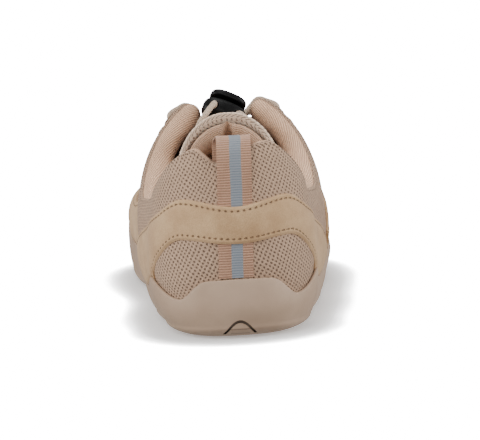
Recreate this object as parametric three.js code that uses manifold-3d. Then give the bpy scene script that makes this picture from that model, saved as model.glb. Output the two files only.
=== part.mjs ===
// A right-foot outdoor shoe: a wide, low sports shoe of thick mesh on a thin moulded rubber cup,
// with suede overlays, a webbing pull loop and an elastic lace held by a cord lock.
// Millimetres, +Z up, toe towards +Y, the outer (lateral) side of the foot towards +X.
// The origin is on the floor, under the centre of the shoe's box.
import * as THREE from 'three';
import { mergeVertices } from 'three/addons/utils/BufferGeometryUtils.js';
import Module from 'manifold-3d';

// Driving dimensions
const soleLength = 262;
const ballWidth = 98;
const instepHeight = 97;
const heelHeight = 73;
const soleFloor = 6.5;
const soleWall = 3;
const soleLip = 1.4;
const soleEdge = 22;
const toeSpring = 9;
const heelBevel = 3;
const upperWall = 3;
const collarPad = 8.5;
const collarPadDepth = 30;
const overlayThickness = 1.4;
const insoleThickness = 4;
const tonguePad = 8;
const tapeWidth = 14;
const tapeThickness = 1.2;
const laceDiameter = 2.6;
const eyeletDiameter = 4;
const grooveDepth = 2;
const grooveWidth = 3.4;
const lock = { width: 20, depth: 12.6, height: 8.6, cap: 3.6, travel: 1.2, stem: 4, spread: 5.5, low: 1.4 };
const gap = 0.35;

const lastBack = -soleLength / 2 + gap + soleWall;
const lastFront = soleLength / 2 - gap - soleWall;
const lastLength = lastFront - lastBack;
// Over the forefoot the last is widest lower on the outer side than on the inner one.
const forefootLean = 0.075;
const lastBall = ballWidth - 2 * (gap + soleWall);
const heelCentreY = lastBack + 0.13 * soleLength;
const throatY = 0.085 * soleLength;

// The last, from the back of the heel at 0 to the tip of the toe at 1.
// lateral, medial and ridgeX are places across the shoe in shares of lastBall, from its middle;
// widest and ridge are heights in shares of instepHeight; the tucks narrow each side towards the floor.
const lastRows = [
  { at: 0.0, lateral: 0.31, medial: -0.42, ridgeX: -0.055, widest: 0.28, ridge: 1.32, lateralTuck: 0.15, medialTuck: 0.2 },
  { at: 0.13, lateral: 0.313, medial: -0.423, ridgeX: -0.05, widest: 0.28, ridge: 1.32, lateralTuck: 0.15, medialTuck: 0.2 },
  { at: 0.25, lateral: 0.38, medial: -0.47, ridgeX: -0.035, widest: 0.34, ridge: 1.2, lateralTuck: 0.15, medialTuck: 0.2 },
  { at: 0.33, lateral: 0.42, medial: -0.475, ridgeX: -0.022, widest: 0.36, ridge: 1.02, lateralTuck: 0.15, medialTuck: 0.24 },
  { at: 0.41, lateral: 0.445, medial: -0.468, ridgeX: -0.02, widest: 0.36, ridge: 0.965, lateralTuck: 0.14, medialTuck: 0.26 },
  { at: 0.5, lateral: 0.462, medial: -0.458, ridgeX: -0.03, widest: 0.32, ridge: 0.85, lateralTuck: 0.1, medialTuck: 0.24 },
  { at: 0.6, lateral: 0.487, medial: -0.475, ridgeX: -0.055, widest: 0.26, ridge: 0.71, lateralTuck: 0.08, medialTuck: 0.13 },
  { at: 0.68, lateral: 0.5, medial: -0.492, ridgeX: -0.085, widest: 0.23, ridge: 0.62, lateralTuck: 0.07, medialTuck: 0.08 },
  { at: 0.76, lateral: 0.485, medial: -0.5, ridgeX: -0.11, widest: 0.23, ridge: 0.55, lateralTuck: 0.07, medialTuck: 0.07 },
  { at: 0.86, lateral: 0.44, medial: -0.495, ridgeX: -0.14, widest: 0.25, ridge: 0.5, lateralTuck: 0.08, medialTuck: 0.08 },
  { at: 1.0, lateral: 0.36, medial: -0.47, ridgeX: -0.15, widest: 0.28, ridge: 0.47, lateralTuck: 0.09, medialTuck: 0.09 },
];
const heelRound = { length: 0.135, power: 2.2 };
const toeRound = { length: 0.2, power: 2.15 };
const toeBoxRound = { length: 0.13, power: 2.3 };
const sectionPower = 2.05;

// How far forward the back of the heel stands at each height, both in shares of heelHeight.
const heelLean = [
  { at: 0, forward: 0.07 },
  { at: 0.2, forward: 0.012 },
  { at: 0.42, forward: 0 },
  { at: 0.7, forward: 0.02 },
  { at: 1.0, forward: 0.085 },
  { at: 1.3, forward: 0.17 },
];

// The collar's height in shares of heelHeight, by the run forward from the back in shares of soleLength.
const collarRows = [
  { run: 0.0, lateral: 1.0, medial: 1.0 },
  { run: 0.03, lateral: 1.06, medial: 0.995 },
  { run: 0.058, lateral: 1.095, medial: 1.04 },
  { run: 0.08, lateral: 1.1, medial: 1.075 },
  { run: 0.125, lateral: 1.03, medial: 1.02 },
  { run: 0.19, lateral: 0.87, medial: 0.86 },
  { run: 0.26, lateral: 0.775, medial: 0.765 },
  { run: 0.32, lateral: 0.765, medial: 0.755 },
  { run: 0.38, lateral: 0.86, medial: 0.85 },
  { run: 0.425, lateral: 1.05, medial: 1.03 },
  { run: 0.465, lateral: 1.23, medial: 1.22 },
  { run: 0.5, lateral: 1.6, medial: 1.6 },
];

// The throat's half width in shares of lastBall, by the same run.
const throatRows = [
  { run: 0.4, half: 0.0 },
  { run: 0.46, half: 0.195 },
  { run: 0.5, half: 0.205 },
  { run: 0.64, half: 0.145 },
  { run: 1.0, half: 0.12 },
];

// The padding inside the collar in shares of collarPad, by the same run.
const padRows = [
  { run: 0.0, pad: 0.8 },
  { run: 0.2, pad: 1.0 },
  { run: 0.47, pad: 1.3 },
  { run: 0.56, pad: 0.36 },
  { run: 1.0, pad: 0.3 },
];

// The top edge of the rubber cup in shares of soleEdge, by the run from the heel to the toe tip.
const edgeRows = [
  { run: 0.0, lateral: 1.12, medial: 1.12 },
  { run: 0.05, lateral: 1.1, medial: 1.1 },
  { run: 0.1, lateral: 0.75, medial: 0.75 },
  { run: 0.19, lateral: 1.05, medial: 1.05 },
  { run: 0.3, lateral: 0.72, medial: 0.75 },
  { run: 0.4, lateral: 0.88, medial: 1.0 },
  { run: 0.5, lateral: 0.66, medial: 0.75 },
  { run: 0.6, lateral: 0.98, medial: 0.95 },
  { run: 0.72, lateral: 0.75, medial: 1.0 },
  { run: 0.85, lateral: 1.1, medial: 1.3 },
  { run: 1.0, lateral: 1.55, medial: 1.55 },
];

// The heel band's lower and upper edges in shares of heelHeight.
const bandRows = [
  { run: 0.0, low: 0.56, high: 0.745 },
  { run: 0.088, low: 0.595, high: 0.79 },
  { run: 0.15, low: 0.45, high: 0.7 },
  { run: 0.195, low: 0.3, high: 0.645 },
  { run: 0.285, low: 0.18, high: 0.545 },
  { run: 0.42, low: 0.16, high: 0.35 },
];
const bandEnd = 0.41;

// The toe guard's upper edge as a share of each section's girth from the feather edge.
const guardRows = [
  { run: 0.52, reach: 0.22 },
  { run: 0.56, reach: 0.4 },
  { run: 0.62, reach: 0.5 },
  { run: 0.72, reach: 0.46 },
  { run: 0.86, reach: 0.4 },
  { run: 1.0, reach: 0.36 },
];
const guardStart = 0.53;

// How far the tongue's face lies under the last, at its middle and its sides, in shares of collarPad,
// and its thickness in shares of tonguePad, from its top edge to its seam.
const tongueRows = [
  { along: 0, middle: 2.15, side: 1.75, thick: 1 },
  { along: 0.12, middle: 2.1, side: 1.8, thick: 1 },
  { along: 0.27, middle: 2.2, side: 2.1, thick: 0.95 },
  { along: 0.38, middle: 2.1, side: 2, thick: 0.85 },
  { along: 0.5, middle: 1.3, side: 1.6, thick: 0.75 },
  { along: 0.75, middle: 0.75, side: 0.85, thick: 0.6 },
  { along: 1, middle: 0.45, side: 0.57, thick: 0.55 },
];
const tongueTop = lastBack + 0.325 * soleLength;
const tongueFront = throatY + 0.05 * soleLength;

// The eyelets, by run, and how far below the throat's edge they are.
const eyeletRuns = [0.518, 0.558, 0.598, 0.638];
const eyeletInset = 0.07 * lastBall;

// Where the shoe's bottom is grooved: shares of soleLength from the back, half widths of ballWidth.
const treadRows = [
  { at: 0.115, half: 0.14 },
  { at: 0.17, half: 0.16 },
  { at: 0.225, half: 0.16 },
  { at: 0.28, half: 0.15 },
  { at: 0.57, half: 0.24 },
  { at: 0.625, half: 0.27 },
  { at: 0.68, half: 0.29 },
  { at: 0.735, half: 0.29 },
  { at: 0.79, half: 0.27 },
  { at: 0.845, half: 0.23 },
];
const heelArch = { width: 13, height: 8.3, groove: 1.2 };

// Steps of the shells round the heel, along the side and round the toe, for one side of the shoe.
const heelSteps = 7;
const sideSteps = 14;
const toeSteps = 10;
const girthSteps = 9;
const halfTurn = heelSteps + sideSteps + toeSteps;
const stationCount = 2 * halfTurn;

const wasm = await Module();
wasm.setup();

// Small vector helpers on [x, y, z] arrays
const add = (a, b, k = 1) => a.map((v, i) => v + k * b[i]);
const blendPoints = (a, b, k) => a.map((v, i) => v + k * (b[i] - v));
const unit = (a) => {
  const long = Math.hypot(...a);
  return a.map((v) => v / long);
};
const cross = (a, b) => [
  a[1] * b[2] - a[2] * b[1],
  a[2] * b[0] - a[0] * b[2],
  a[0] * b[1] - a[1] * b[0],
];
const distance = (a, b) => Math.hypot(a[0] - b[0], a[1] - b[1], a[2] - b[2]);
const clamp = (v, low = 0, high = 1) => Math.min(high, Math.max(low, v));
const smooth = (v) => clamp(v) ** 2 * (3 - 2 * clamp(v));
const softMax = (a, b, reach) => Math.max(a, b) + Math.max(reach - Math.abs(a - b), 0) ** 2 / (4 * reach);

// A table's column read between its rows, on a curve that never overshoots them.
function readTable(rows, key, column, at) {
  const place = clamp(at, rows[0][key], rows[rows.length - 1][key]);
  let i = 0;
  while (i < rows.length - 2 && place > rows[i + 1][key]) i += 1;
  const slope = (k) => {
    if (k < 0 || k >= rows.length - 1) return 0;
    return (rows[k + 1][column] - rows[k][column]) / (rows[k + 1][key] - rows[k][key]);
  };
  const tangent = (k) => {
    const before = slope(k - 1);
    const after = slope(k);
    return before * after > 0 ? (2 * before * after) / (before + after) : 0;
  };
  const span = rows[i + 1][key] - rows[i][key];
  const t = (place - rows[i][key]) / span;
  const bend = t * t * (3 - 2 * t);
  return rows[i][column] * (1 - bend) + rows[i + 1][column] * bend
    + span * (tangent(i) * t * (1 - t) ** 2 - tangent(i + 1) * t * t * (1 - t));
}

// How much an end's rounding narrows the last: 1 away from the end, 0 at its tip.
function roundedEnd(fromTip, round) {
  return (1 - clamp(1 - fromTip / round.length) ** round.power) ** (1 / round.power);
}

// The height of the foot's seat, and of the ground surface under it.
function springAt(y) {
  return toeSpring * clamp((y / soleLength + 0.5 - 0.7) / 0.3) ** 2;
}
function bevelAt(y) {
  return heelBevel * clamp(1 - (y / soleLength + 0.5) / 0.07) ** 2;
}
const seatAt = (y) => soleFloor + springAt(y);
const groundAt = (y) => springAt(y) + bevelAt(y);

// Whether a point lies inside the last, whose surface is the outside of the upper.
function insideLast(x, y, z) {
  const back = lastBack + heelHeight * readTable(heelLean, 'at', 'forward', z / heelHeight);
  const along = (y - back) / (lastFront - back);
  if (along <= 0 || along >= 1) return false;
  const row = (column) => readTable(lastRows, 'at', column, along);
  const spring = springAt(y);
  const forefoot = smooth((along - 0.5) / 0.2) * (1 - smooth((along - 0.76) / 0.15));
  const lean = forefootLean * forefoot * (x > row('ridgeX') * lastBall ? -1 : 1);
  const widest = (row('widest') + lean) * instepHeight + spring;
  const toeBox = roundedEnd(1 - along, toeBoxRound);
  const ridge = widest + (row('ridge') * instepHeight - widest + spring) * toeBox;
  const side = x > row('ridgeX') * lastBall ? 'lateral' : 'medial';
  const ends = roundedEnd(along, heelRound) * roundedEnd(1 - along, toeRound);
  const half = Math.abs(row(side) - row('ridgeX')) * lastBall * ends;
  let share;
  if (z > widest) {
    const up = clamp((z - widest) / (ridge - widest));
    share = (1 - up ** sectionPower) ** (1 / sectionPower);
  } else {
    const down = (widest - z) / (widest - seatAt(y));
    share = 1 - row(side + 'Tuck') * down ** 2;
  }
  return Math.abs(x - row('ridgeX') * lastBall) < half * share;
}

// Where a ray from a point inside the last leaves it.
function leaveLast(from, direction) {
  let inside = 0;
  let outside = lastLength;
  for (let i = 0; i < 26; i += 1) {
    const middle = (inside + outside) / 2;
    if (insideLast(...add(from, direction, middle))) inside = middle;
    else outside = middle;
  }
  return add(from, direction, inside);
}

// The stations round the shoe, from the back of the heel by the lateral side to the toe and back.
// Each looks outwards from a centre on the last's ridge line. run is the way from the heel.
function stationList() {
  const ridgeXAt = (y) => lastBall * readTable(lastRows, 'at', 'ridgeX', (y - lastBack) / lastLength);
  const heelRun = (heelCentreY - lastBack) * Math.PI / 2 / soleLength;
  const sideRun = (throatY - heelCentreY) / soleLength;
  const oneSide = [];
  for (let i = 0; i < heelSteps; i += 1) {
    const share = i / heelSteps;
    const turn = (share - 1) * Math.PI / 2;
    oneSide.push({ y: heelCentreY, turn, run: heelRun * share });
  }
  for (let i = 0; i < sideSteps; i += 1) {
    const share = i / sideSteps;
    oneSide.push({
      y: heelCentreY + share * (throatY - heelCentreY), turn: 0, run: heelRun + sideRun * share,
    });
  }
  for (let i = 0; i <= toeSteps; i += 1) {
    const share = i / toeSteps;
    const turn = (1 - (1 - share) ** 1.35) * Math.PI / 2;
    const run = heelRun + sideRun + (1 - heelRun - sideRun) * share;
    oneSide.push({ y: throatY, turn, run });
  }
  const station = ({ y, turn, run }, side) => ({
    centre: [ridgeXAt(y), y],
    direction: [side * Math.cos(turn), Math.sin(turn)],
    run,
    side: side > 0 ? 'lateral' : 'medial',
  });
  const lateral = oneSide.map((s) => station(s, 1));
  const medial = oneSide.slice(1, -1).reverse().map((s) => station(s, -1));
  return [...lateral, ...medial];
}
const stations = stationList();

// The last's skin at one station, from low down on the side up to the ridge, as a fine polyline.
function skinAt({ centre, direction }) {
  const from = [centre[0], centre[1], 0.25 * instepHeight];
  const points = [];
  for (let degrees = -50; degrees < 89; degrees += 0.7) {
    const a = degrees * Math.PI / 180;
    const c = Math.cos(a);
    points.push(leaveLast(from, [direction[0] * c, direction[1] * c, Math.sin(a)]));
  }
  return points;
}
const skins = stations.map(skinAt);

// The first place on a polyline where a test turns true, as a distance along it.
function lengthUntil(points, test) {
  let length = 0;
  for (let i = 1; i < points.length; i += 1) {
    const value = test(points[i]);
    const step = distance(points[i - 1], points[i]);
    if (value >= 0) {
      const before = test(points[i - 1]);
      return length + (before >= 0 ? 0 : step * before / (before - value));
    }
    length += step;
  }
  return length;
}
function pointAt(points, length) {
  let left = length;
  for (let i = 1; i < points.length; i += 1) {
    const step = distance(points[i - 1], points[i]);
    if (left <= step) return blendPoints(points[i - 1], points[i], clamp(left / step));
    left -= step;
  }
  return points[points.length - 1];
}

// Where each skin starts, at the foot's seat, and ends, at the collar or the throat.
const padAt = (run) => collarPad * readTable(padRows, 'run', 'pad', run);
const rimRise = (run) => 0.42 * padAt(run);
const featherLengths = skins.map((skin) => lengthUntil(skin, (p) => p[2] - seatAt(p[1]) - gap));
const toplineLengths = skins.map((skin, j) => {
  const { run, centre, side } = stations[j];
  const height = heelHeight * readTable(collarRows, 'run', side, run) - rimRise(run);
  const half = lastBall * readTable(throatRows, 'run', 'half', run);
  return lengthUntil(skin, (p) => {
    const inThroat = half - Math.hypot(p[0] - centre[0], p[1] - centre[1]);
    return p[2] < 0.3 * instepHeight ? -1 : softMax(p[2] - height, inThroat, 0.13 * heelHeight);
  });
});

// A ring of points round the upper's skin, at a share of each girth, or at a height.
const girthShare = (share) => stations.map((_, j) => featherLengths[j]
  + share * (toplineLengths[j] - featherLengths[j]));
const heightLengths = (heightOf) => skins.map((skin, j) =>
  lengthUntil(skin, (p) => p[2] - heightOf(stations[j], p)));
const ringAt = (lengths) => lengths.map((length, j) => pointAt(skins[j], length));

// Outward normals of the skin along a ring.
function ringNormals(lengths) {
  return ringAt(lengths).map((p, j) => {
    const next = (j + 1) % stationCount;
    const last = (j + stationCount - 1) % stationCount;
    const around = add(pointAt(skins[next], lengths[next]), pointAt(skins[last], lengths[last]), -1);
    const up = add(pointAt(skins[j], lengths[j] + 2), pointAt(skins[j], lengths[j] - 2), -1);
    return unit(cross(around, up));
  });
}
function offsetRing(lengths, offsetOf) {
  const normals = ringNormals(lengths);
  return ringAt(lengths).map((p, j) => add(p, normals[j], offsetOf(j)));
}

// Solids from points: a list of rows of points becomes faces, and a mesh.
function solidOf(points, faces) {
  const triangles = faces.flatMap(([a, b, c, d]) => (d === undefined ? [a, b, c] : [a, b, c, a, c, d]));
  const mesh = new wasm.Mesh({
    numProp: 3,
    vertProperties: new Float32Array(points.flat()),
    triVerts: new Uint32Array(triangles),
  });
  return new wasm.Manifold(mesh);
}

// Quads between rows of equal length. closedRows joins each row's ends, closedStack the first and last row.
function weave(rowCount, columnCount, closedRows, closedStack) {
  const faces = [];
  for (let r = 0; r < rowCount - (closedStack ? 0 : 1); r += 1) {
    for (let c = 0; c < columnCount - (closedRows ? 0 : 1); c += 1) {
      const up = (r + 1) % rowCount;
      const next = (c + 1) % columnCount;
      faces.push([r * columnCount + c, r * columnCount + next,
        up * columnCount + next, up * columnCount + c]);
    }
  }
  return faces;
}

// A solid ring of closed rows, like a tyre.
function ringSolid(rows) {
  return solidOf(rows.flat(), weave(rows.length, rows[0].length, true, true));
}

// A solid closed at its first and last row by strips across from side to side.
function cupSolid(rows) {
  const n = rows[0].length;
  const faces = weave(rows.length, n, true, false);
  const close = (start, flip) => {
    for (let j = 0; j < n / 2; j += 1) {
      const across = [start + j, start + j + 1, start + (n - j - 1) % n, start + (n - j) % n];
      const corners = across.filter((v, i) => across.indexOf(v) === i);
      faces.push(flip ? corners.reverse() : corners);
    }
  };
  close(0, true);
  close((rows.length - 1) * n, false);
  return solidOf(rows.flat(), faces);
}

// A plate between an outer and an inner patch of equal rows and columns.
function plateSolid(outer, inner) {
  const rows = outer.length;
  const columns = outer[0].length;
  const count = rows * columns;
  const top = weave(rows, columns, false, false);
  const faces = [...top, ...top.map((f) => f.map((v) => v + count).reverse())];
  const side = (a, b) => faces.push([b, a, a + count, b + count]);
  for (let c = 0; c < columns - 1; c += 1) {
    side(c, c + 1);
    side((rows - 1) * columns + c + 1, (rows - 1) * columns + c);
  }
  for (let r = 0; r < rows - 1; r += 1) {
    side((r + 1) * columns, r * columns);
    side((r + 1) * columns - 1, (r + 2) * columns - 1);
  }
  return solidOf([...outer.flat(), ...inner.flat()], faces);
}

// A tube of round section along a smooth path.
function tubeSolid(points, diameter, steps, sides) {
  const path = new THREE.CatmullRomCurve3(points.map((p) => new THREE.Vector3(...p)), false, 'centripetal');
  const frames = path.computeFrenetFrames(steps, false);
  const rows = frames.normals.map((normal, i) => Array.from({ length: sides }, (_, k) => {
    const a = 2 * Math.PI * k / sides;
    const place = path.getPointAt(i / steps);
    place.addScaledVector(normal, Math.cos(a) * diameter / 2);
    place.addScaledVector(frames.binormals[i], Math.sin(a) * diameter / 2);
    return place.toArray();
  }));
  return cupSolid(rows);
}

// A thin plate between two offset forms of the last, over some stations and between two lengths.
function overlaySolid(columns, lowOf, highOf, steps, raiseOf = () => 0) {
  const layer = (offset) => Array.from({ length: steps + 1 }, (_, r) => {
    const lengths = stations.map((_s, j) => lowOf(j) + (r / steps) * (highOf(j) - lowOf(j)));
    const ring = offsetRing(lengths, (j) => offset + raiseOf(stations[j].run));
    return columns.map((j) => ring[j]);
  });
  return plateSolid(layer(gap + overlayThickness), layer(gap));
}

// A three.js geometry as a solid, and a solid as a named mesh.
function solidFrom(geometry) {
  const bare = geometry.index ? geometry.toNonIndexed() : geometry.clone();
  bare.deleteAttribute('normal');
  bare.deleteAttribute('uv');
  const merged = mergeVertices(bare, 1e-4);
  const mesh = new wasm.Mesh({
    numProp: 3,
    vertProperties: merged.attributes.position.array,
    triVerts: new Uint32Array(merged.index.array),
  });
  return new wasm.Manifold(mesh);
}
function meshOf(name, solid, colour, roughness) {
  const made = solid.getMesh();
  const geometry = new THREE.BufferGeometry();
  geometry.setAttribute('position', new THREE.BufferAttribute(made.vertProperties, 3));
  geometry.setIndex(new THREE.BufferAttribute(made.triVerts, 1));
  geometry.computeVertexNormals();
  const mesh = new THREE.Mesh(geometry, new THREE.MeshStandardMaterial({ color: colour, roughness }));
  mesh.name = name;
  return mesh;
}

// The upper's wall at a distance below its rim: thick in the collar, thin further down.
function wallAt(run, belowRim) {
  const top = Math.max(upperWall, padAt(run));
  return upperWall + (top - upperWall) * smooth(1 - belowRim / collarPadDepth);
}

function upperSolid() {
  const shares = Array.from({ length: girthSteps + 1 }, (_, i) => (i / girthSteps) ** 0.9);
  const outer = shares.map((s) => offsetRing(girthShare(s), () => 0));
  const inner = shares.map((s) => offsetRing(girthShare(s), (j) => {
    const girth = toplineLengths[j] - featherLengths[j];
    return -wallAt(stations[j].run, (1 - s) * girth);
  }));
  const top = outer[girthSteps];
  const innerTop = inner[girthSteps];
  const below = outer[girthSteps - 1];
  const rim = [0.2, 0.5, 0.8].map((across) => top.map((p, j) => {
    const upwards = unit(add(p, below[j], -1));
    const rise = rimRise(stations[j].run) * Math.sin(Math.PI * across) ** 0.6;
    return add(blendPoints(p, innerTop[j], across), upwards, rise);
  }));
  return ringSolid([...outer, ...rim, ...inner.reverse()]);
}

const edgeHeight = (station) => soleEdge * readTable(edgeRows, 'run', station.side, station.run);

// How far the tread's edge stands inside the wall: a deep bowl at the heel, tighter forward.
function bottomInset(run) {
  return soleLength * (0.046 - 0.018 * smooth((run - 0.15) / 0.25));
}
const seatLengths = heightLengths((_, p) => seatAt(p[1]));
const edgeLengths = heightLengths((s, p) => edgeHeight(s) + springAt(p[1]));
const cupRing = (share, offset) => offsetRing(
  seatLengths.map((v, j) => v + share * (edgeLengths[j] - v)), () => offset);

// The outside of the rubber cup, tread face to top edge, shrunk by an inset.
function cupOutside(inset) {
  const wall = [0, 0.4, 0.75, 1].map((k) =>
    cupRing(k, gap + soleWall + (soleLip - soleWall) * k ** 2 - inset));
  const base = wall[0];
  const bottom = [0, 0.35, 0.7, 0.92].map((k) => base.map((p, j) => {
    const next = base[(j + 1) % stationCount];
    const last = base[(j + stationCount - 1) % stationCount];
    const outwards = unit(cross(add(next, last, -1), [0, 0, 1]));
    const place = add(p, outwards, -bottomInset(stations[j].run) * (1 - Math.sin(k * Math.PI / 2)));
    const ground = groundAt(place[1]) + inset;
    return [place[0], place[1], ground + (p[2] - ground) * (1 - Math.cos(k * Math.PI / 2))];
  }));
  return [...bottom, ...wall];
}

// A plate standing on an outline drawn in x and y, from one height to another.
function upright(outline, from, to) {
  const shape = new THREE.Shape(outline.map(([x, y]) => new THREE.Vector2(x, y)));
  const geometry = new THREE.ExtrudeGeometry(shape, { depth: to - from, bevelEnabled: false });
  geometry.translate(0, 0, from);
  return geometry;
}

// A wavy groove across the tread, and a straight one along it.
function crossGroove({ at, half }) {
  const steps = 8;
  const middleX = lastBall * -0.04;
  const place = (i, side) => {
    const share = 2 * i / steps - 1;
    const wave = 0.011 * soleLength * Math.cos(share * Math.PI * 2);
    return [middleX + share * half * ballWidth, (at - 0.5) * soleLength + wave + side * grooveWidth / 2];
  };
  const lower = Array.from({ length: steps + 1 }, (_, i) => place(i, -1));
  const upper = Array.from({ length: steps + 1 }, (_, i) => place(steps - i, 1));
  const ground = springAt((at - 0.5) * soleLength);
  return solidFrom(upright([...lower, ...upper], ground - 4, ground + grooveDepth));
}
function archCut() {
  const { width, height, groove } = heelArch;
  const middleX = lastBall * -0.055;
  const arch = (outwards) => Array.from({ length: 9 }, (_, i) => {
    const a = Math.PI * i / 8;
    const half = width / 2 - groove + outwards;
    return [middleX - Math.cos(a) * half, (height - groove + outwards) * Math.sin(a) ** 0.8];
  });
  const outline = [...arch(0), ...arch(groove).reverse()];
  const geometry = upright(outline, 0, 0.1 * soleLength);
  geometry.rotateX(Math.PI / 2);
  geometry.translate(0, -soleLength / 2 + 0.07 * soleLength, 0);
  return solidFrom(geometry);
}

// The rubber cup: grooved tread, rounded bottom edge, wavy wall, and the seat of the upper.
function outsoleSolid() {
  const inside = [1, 0.8, 0.6, 0.4, 0.2, 0].map((k) => cupRing(k, gap));
  const grooves = treadRows.map(crossGroove);
  const arch = archCut().subtract(cupSolid(cupOutside(heelArch.groove)));
  return [...grooves, arch].reduce((sole, cut) => sole.subtract(cut),
    cupSolid([...cupOutside(0), ...inside]));
}

// The removable footbed, cut to the inside of the upper at the foot's seat.
function insoleSolid() {
  const lengths = heightLengths((_, p) => seatAt(p[1]) + gap);
  const rows = [
    { inset: 1.2, height: 0 },
    { inset: 0, height: 0.25 },
    { inset: 0, height: 0.75 },
    { inset: 1.2, height: 1 },
  ];
  return cupSolid(rows.map(({ inset, height }) =>
    offsetRing(lengths, () => -(upperWall + gap + inset)).map((p) =>
      [p[0], p[1], seatAt(p[1]) + gap + height * insoleThickness])));
}

// The padded tongue under the throat, from its open top edge to its seam under the vamp.
const tongueColumns = [-1, -0.94, -0.78, -0.6, -0.4, -0.2, 0, 0.2, 0.4, 0.6, 0.78, 0.94, 1];
const tongueSteps = [0, 0.03, 0.08, 0.17, 0.27, 0.4, 0.54, 0.68, 0.82, 0.94, 1];
const runAt = (y) => (heelCentreY - lastBack) * Math.PI / 2 / soleLength + (y - heelCentreY) / soleLength;
function tonguePlace(along, across, depth) {
  const top = tongueTop + 0.035 * soleLength * across ** 4;
  const y = top + along * (tongueFront - top);
  const ridgeX = lastBall * readTable(lastRows, 'at', 'ridgeX', (y - lastBack) / lastLength);
  const lean = across * (50 - 14 * along) * Math.PI / 180;
  const direction = [Math.sin(lean), 0, Math.cos(lean)];
  const skin = leaveLast([ridgeX, y, 0.25 * instepHeight], direction);
  const row = (column) => readTable(tongueRows, 'along', column, along);
  const side = row('side') * (across > 0 ? 0.86 : 1);
  const sunk = collarPad * (row('middle') + (side - row('middle')) * Math.abs(across) ** 1.1);
  return add(skin, direction, -sunk - depth * tonguePad * row('thick'));
}
function tongueSolid() {
  const layer = (side) => tongueSteps.map((along) => tongueColumns.map((across) => {
    const end = Math.min(along / 0.08, (1 - along) / 0.06, 1);
    const edge = Math.min((1 - Math.abs(across)) / 0.1, 1);
    const round = 0.3 + 0.7 * Math.sqrt(Math.min(end, edge));
    return tonguePlace(along, across, 0.5 - 0.5 * side * round);
  }));
  return plateSolid(layer(1), layer(-1));
}

// The suede band round the heel, raised over the pull tape.
function heelBandSolid() {
  const inBand = stations.map((s, j) => j).filter((j) => stations[j].run <= bandEnd);
  const columns = [...inBand.filter((j) => j > halfTurn), ...inBand.filter((j) => j < halfTurn)];
  const edge = heightLengths((s, p) => edgeHeight(s) + springAt(p[1]) + 2 * gap);
  const edgeOf = (column) => heightLengths((s) => heelHeight * readTable(bandRows, 'run', column, s.run));
  const low = edgeOf('low');
  const high = edgeOf('high');
  const raise = (run) => (tapeThickness + gap) * clamp((0.06 - run) / 0.028);
  return overlaySolid(columns, (j) => Math.max(low[j], edge[j]),
    (j) => Math.max(high[j], edge[j] + 2), 4, raise);
}

// The suede guard round the forefoot, above the rubber.
function toeGuardSolid() {
  const columns = stations.map((s, j) => j).filter((j) => stations[j].run >= guardStart);
  const edge = heightLengths((s, p) => edgeHeight(s) + springAt(p[1]) + 2 * gap);
  const reach = (j) => readTable(guardRows, 'run', 'reach', stations[j].run);
  return overlaySolid(columns, (j) => edge[j],
    (j) => Math.max(edge[j] + 4, girthShare(reach(j))[j]), 4, () => 0.7 * gap);
}

// A place on the upper at any run, some way below the throat's edge and off the surface.
function throatPlace(run, side, below, offset) {
  const found = stations.findIndex((s) => s.run >= run && s.side === 'lateral');
  const share = (run - stations[found - 1].run) / (stations[found].run - stations[found - 1].run);
  const pick = (j) => (side > 0 ? j : (stationCount - j) % stationCount);
  const lengths = toplineLengths.map((v) => v - below);
  const ring = offsetRing(lengths, () => offset);
  return blendPoints(ring[pick(found - 1)], ring[pick(found)], share);
}
const eyeletPlace = (run, side, offset) => throatPlace(run, side, eyeletInset, offset);

// The holes punched through the eyestay and the padded wall under it.
function eyeletCuts() {
  return eyeletRuns.flatMap((run) => [1, -1].map((side) => {
    const from = new THREE.Vector3(...eyeletPlace(run, side, -1.6 * collarPad));
    const to = new THREE.Vector3(...eyeletPlace(run, side, 4 * overlayThickness));
    const geometry = new THREE.CylinderGeometry(eyeletDiameter / 2, eyeletDiameter / 2, from.distanceTo(to), 6);
    geometry.applyQuaternion(new THREE.Quaternion().setFromUnitVectors(
      new THREE.Vector3(0, 1, 0), to.clone().sub(from).normalize()));
    geometry.translate(...from.clone().add(to).divideScalar(2).toArray());
    return solidFrom(geometry);
  }));
}

// The suede eyestay along both sides of the throat and round its front.
function eyestaySolid() {
  const columns = stations.map((s, j) => j).filter((j) => stations[j].run >= 0.485);
  const width = (run) => lastBall * (0.2 - 0.05 * smooth((run - 0.6) / 0.1));
  return overlaySolid(columns, (j) => toplineLengths[j] - width(stations[j].run),
    (j) => toplineLengths[j] - 0.022 * lastBall, 3);
}

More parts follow.
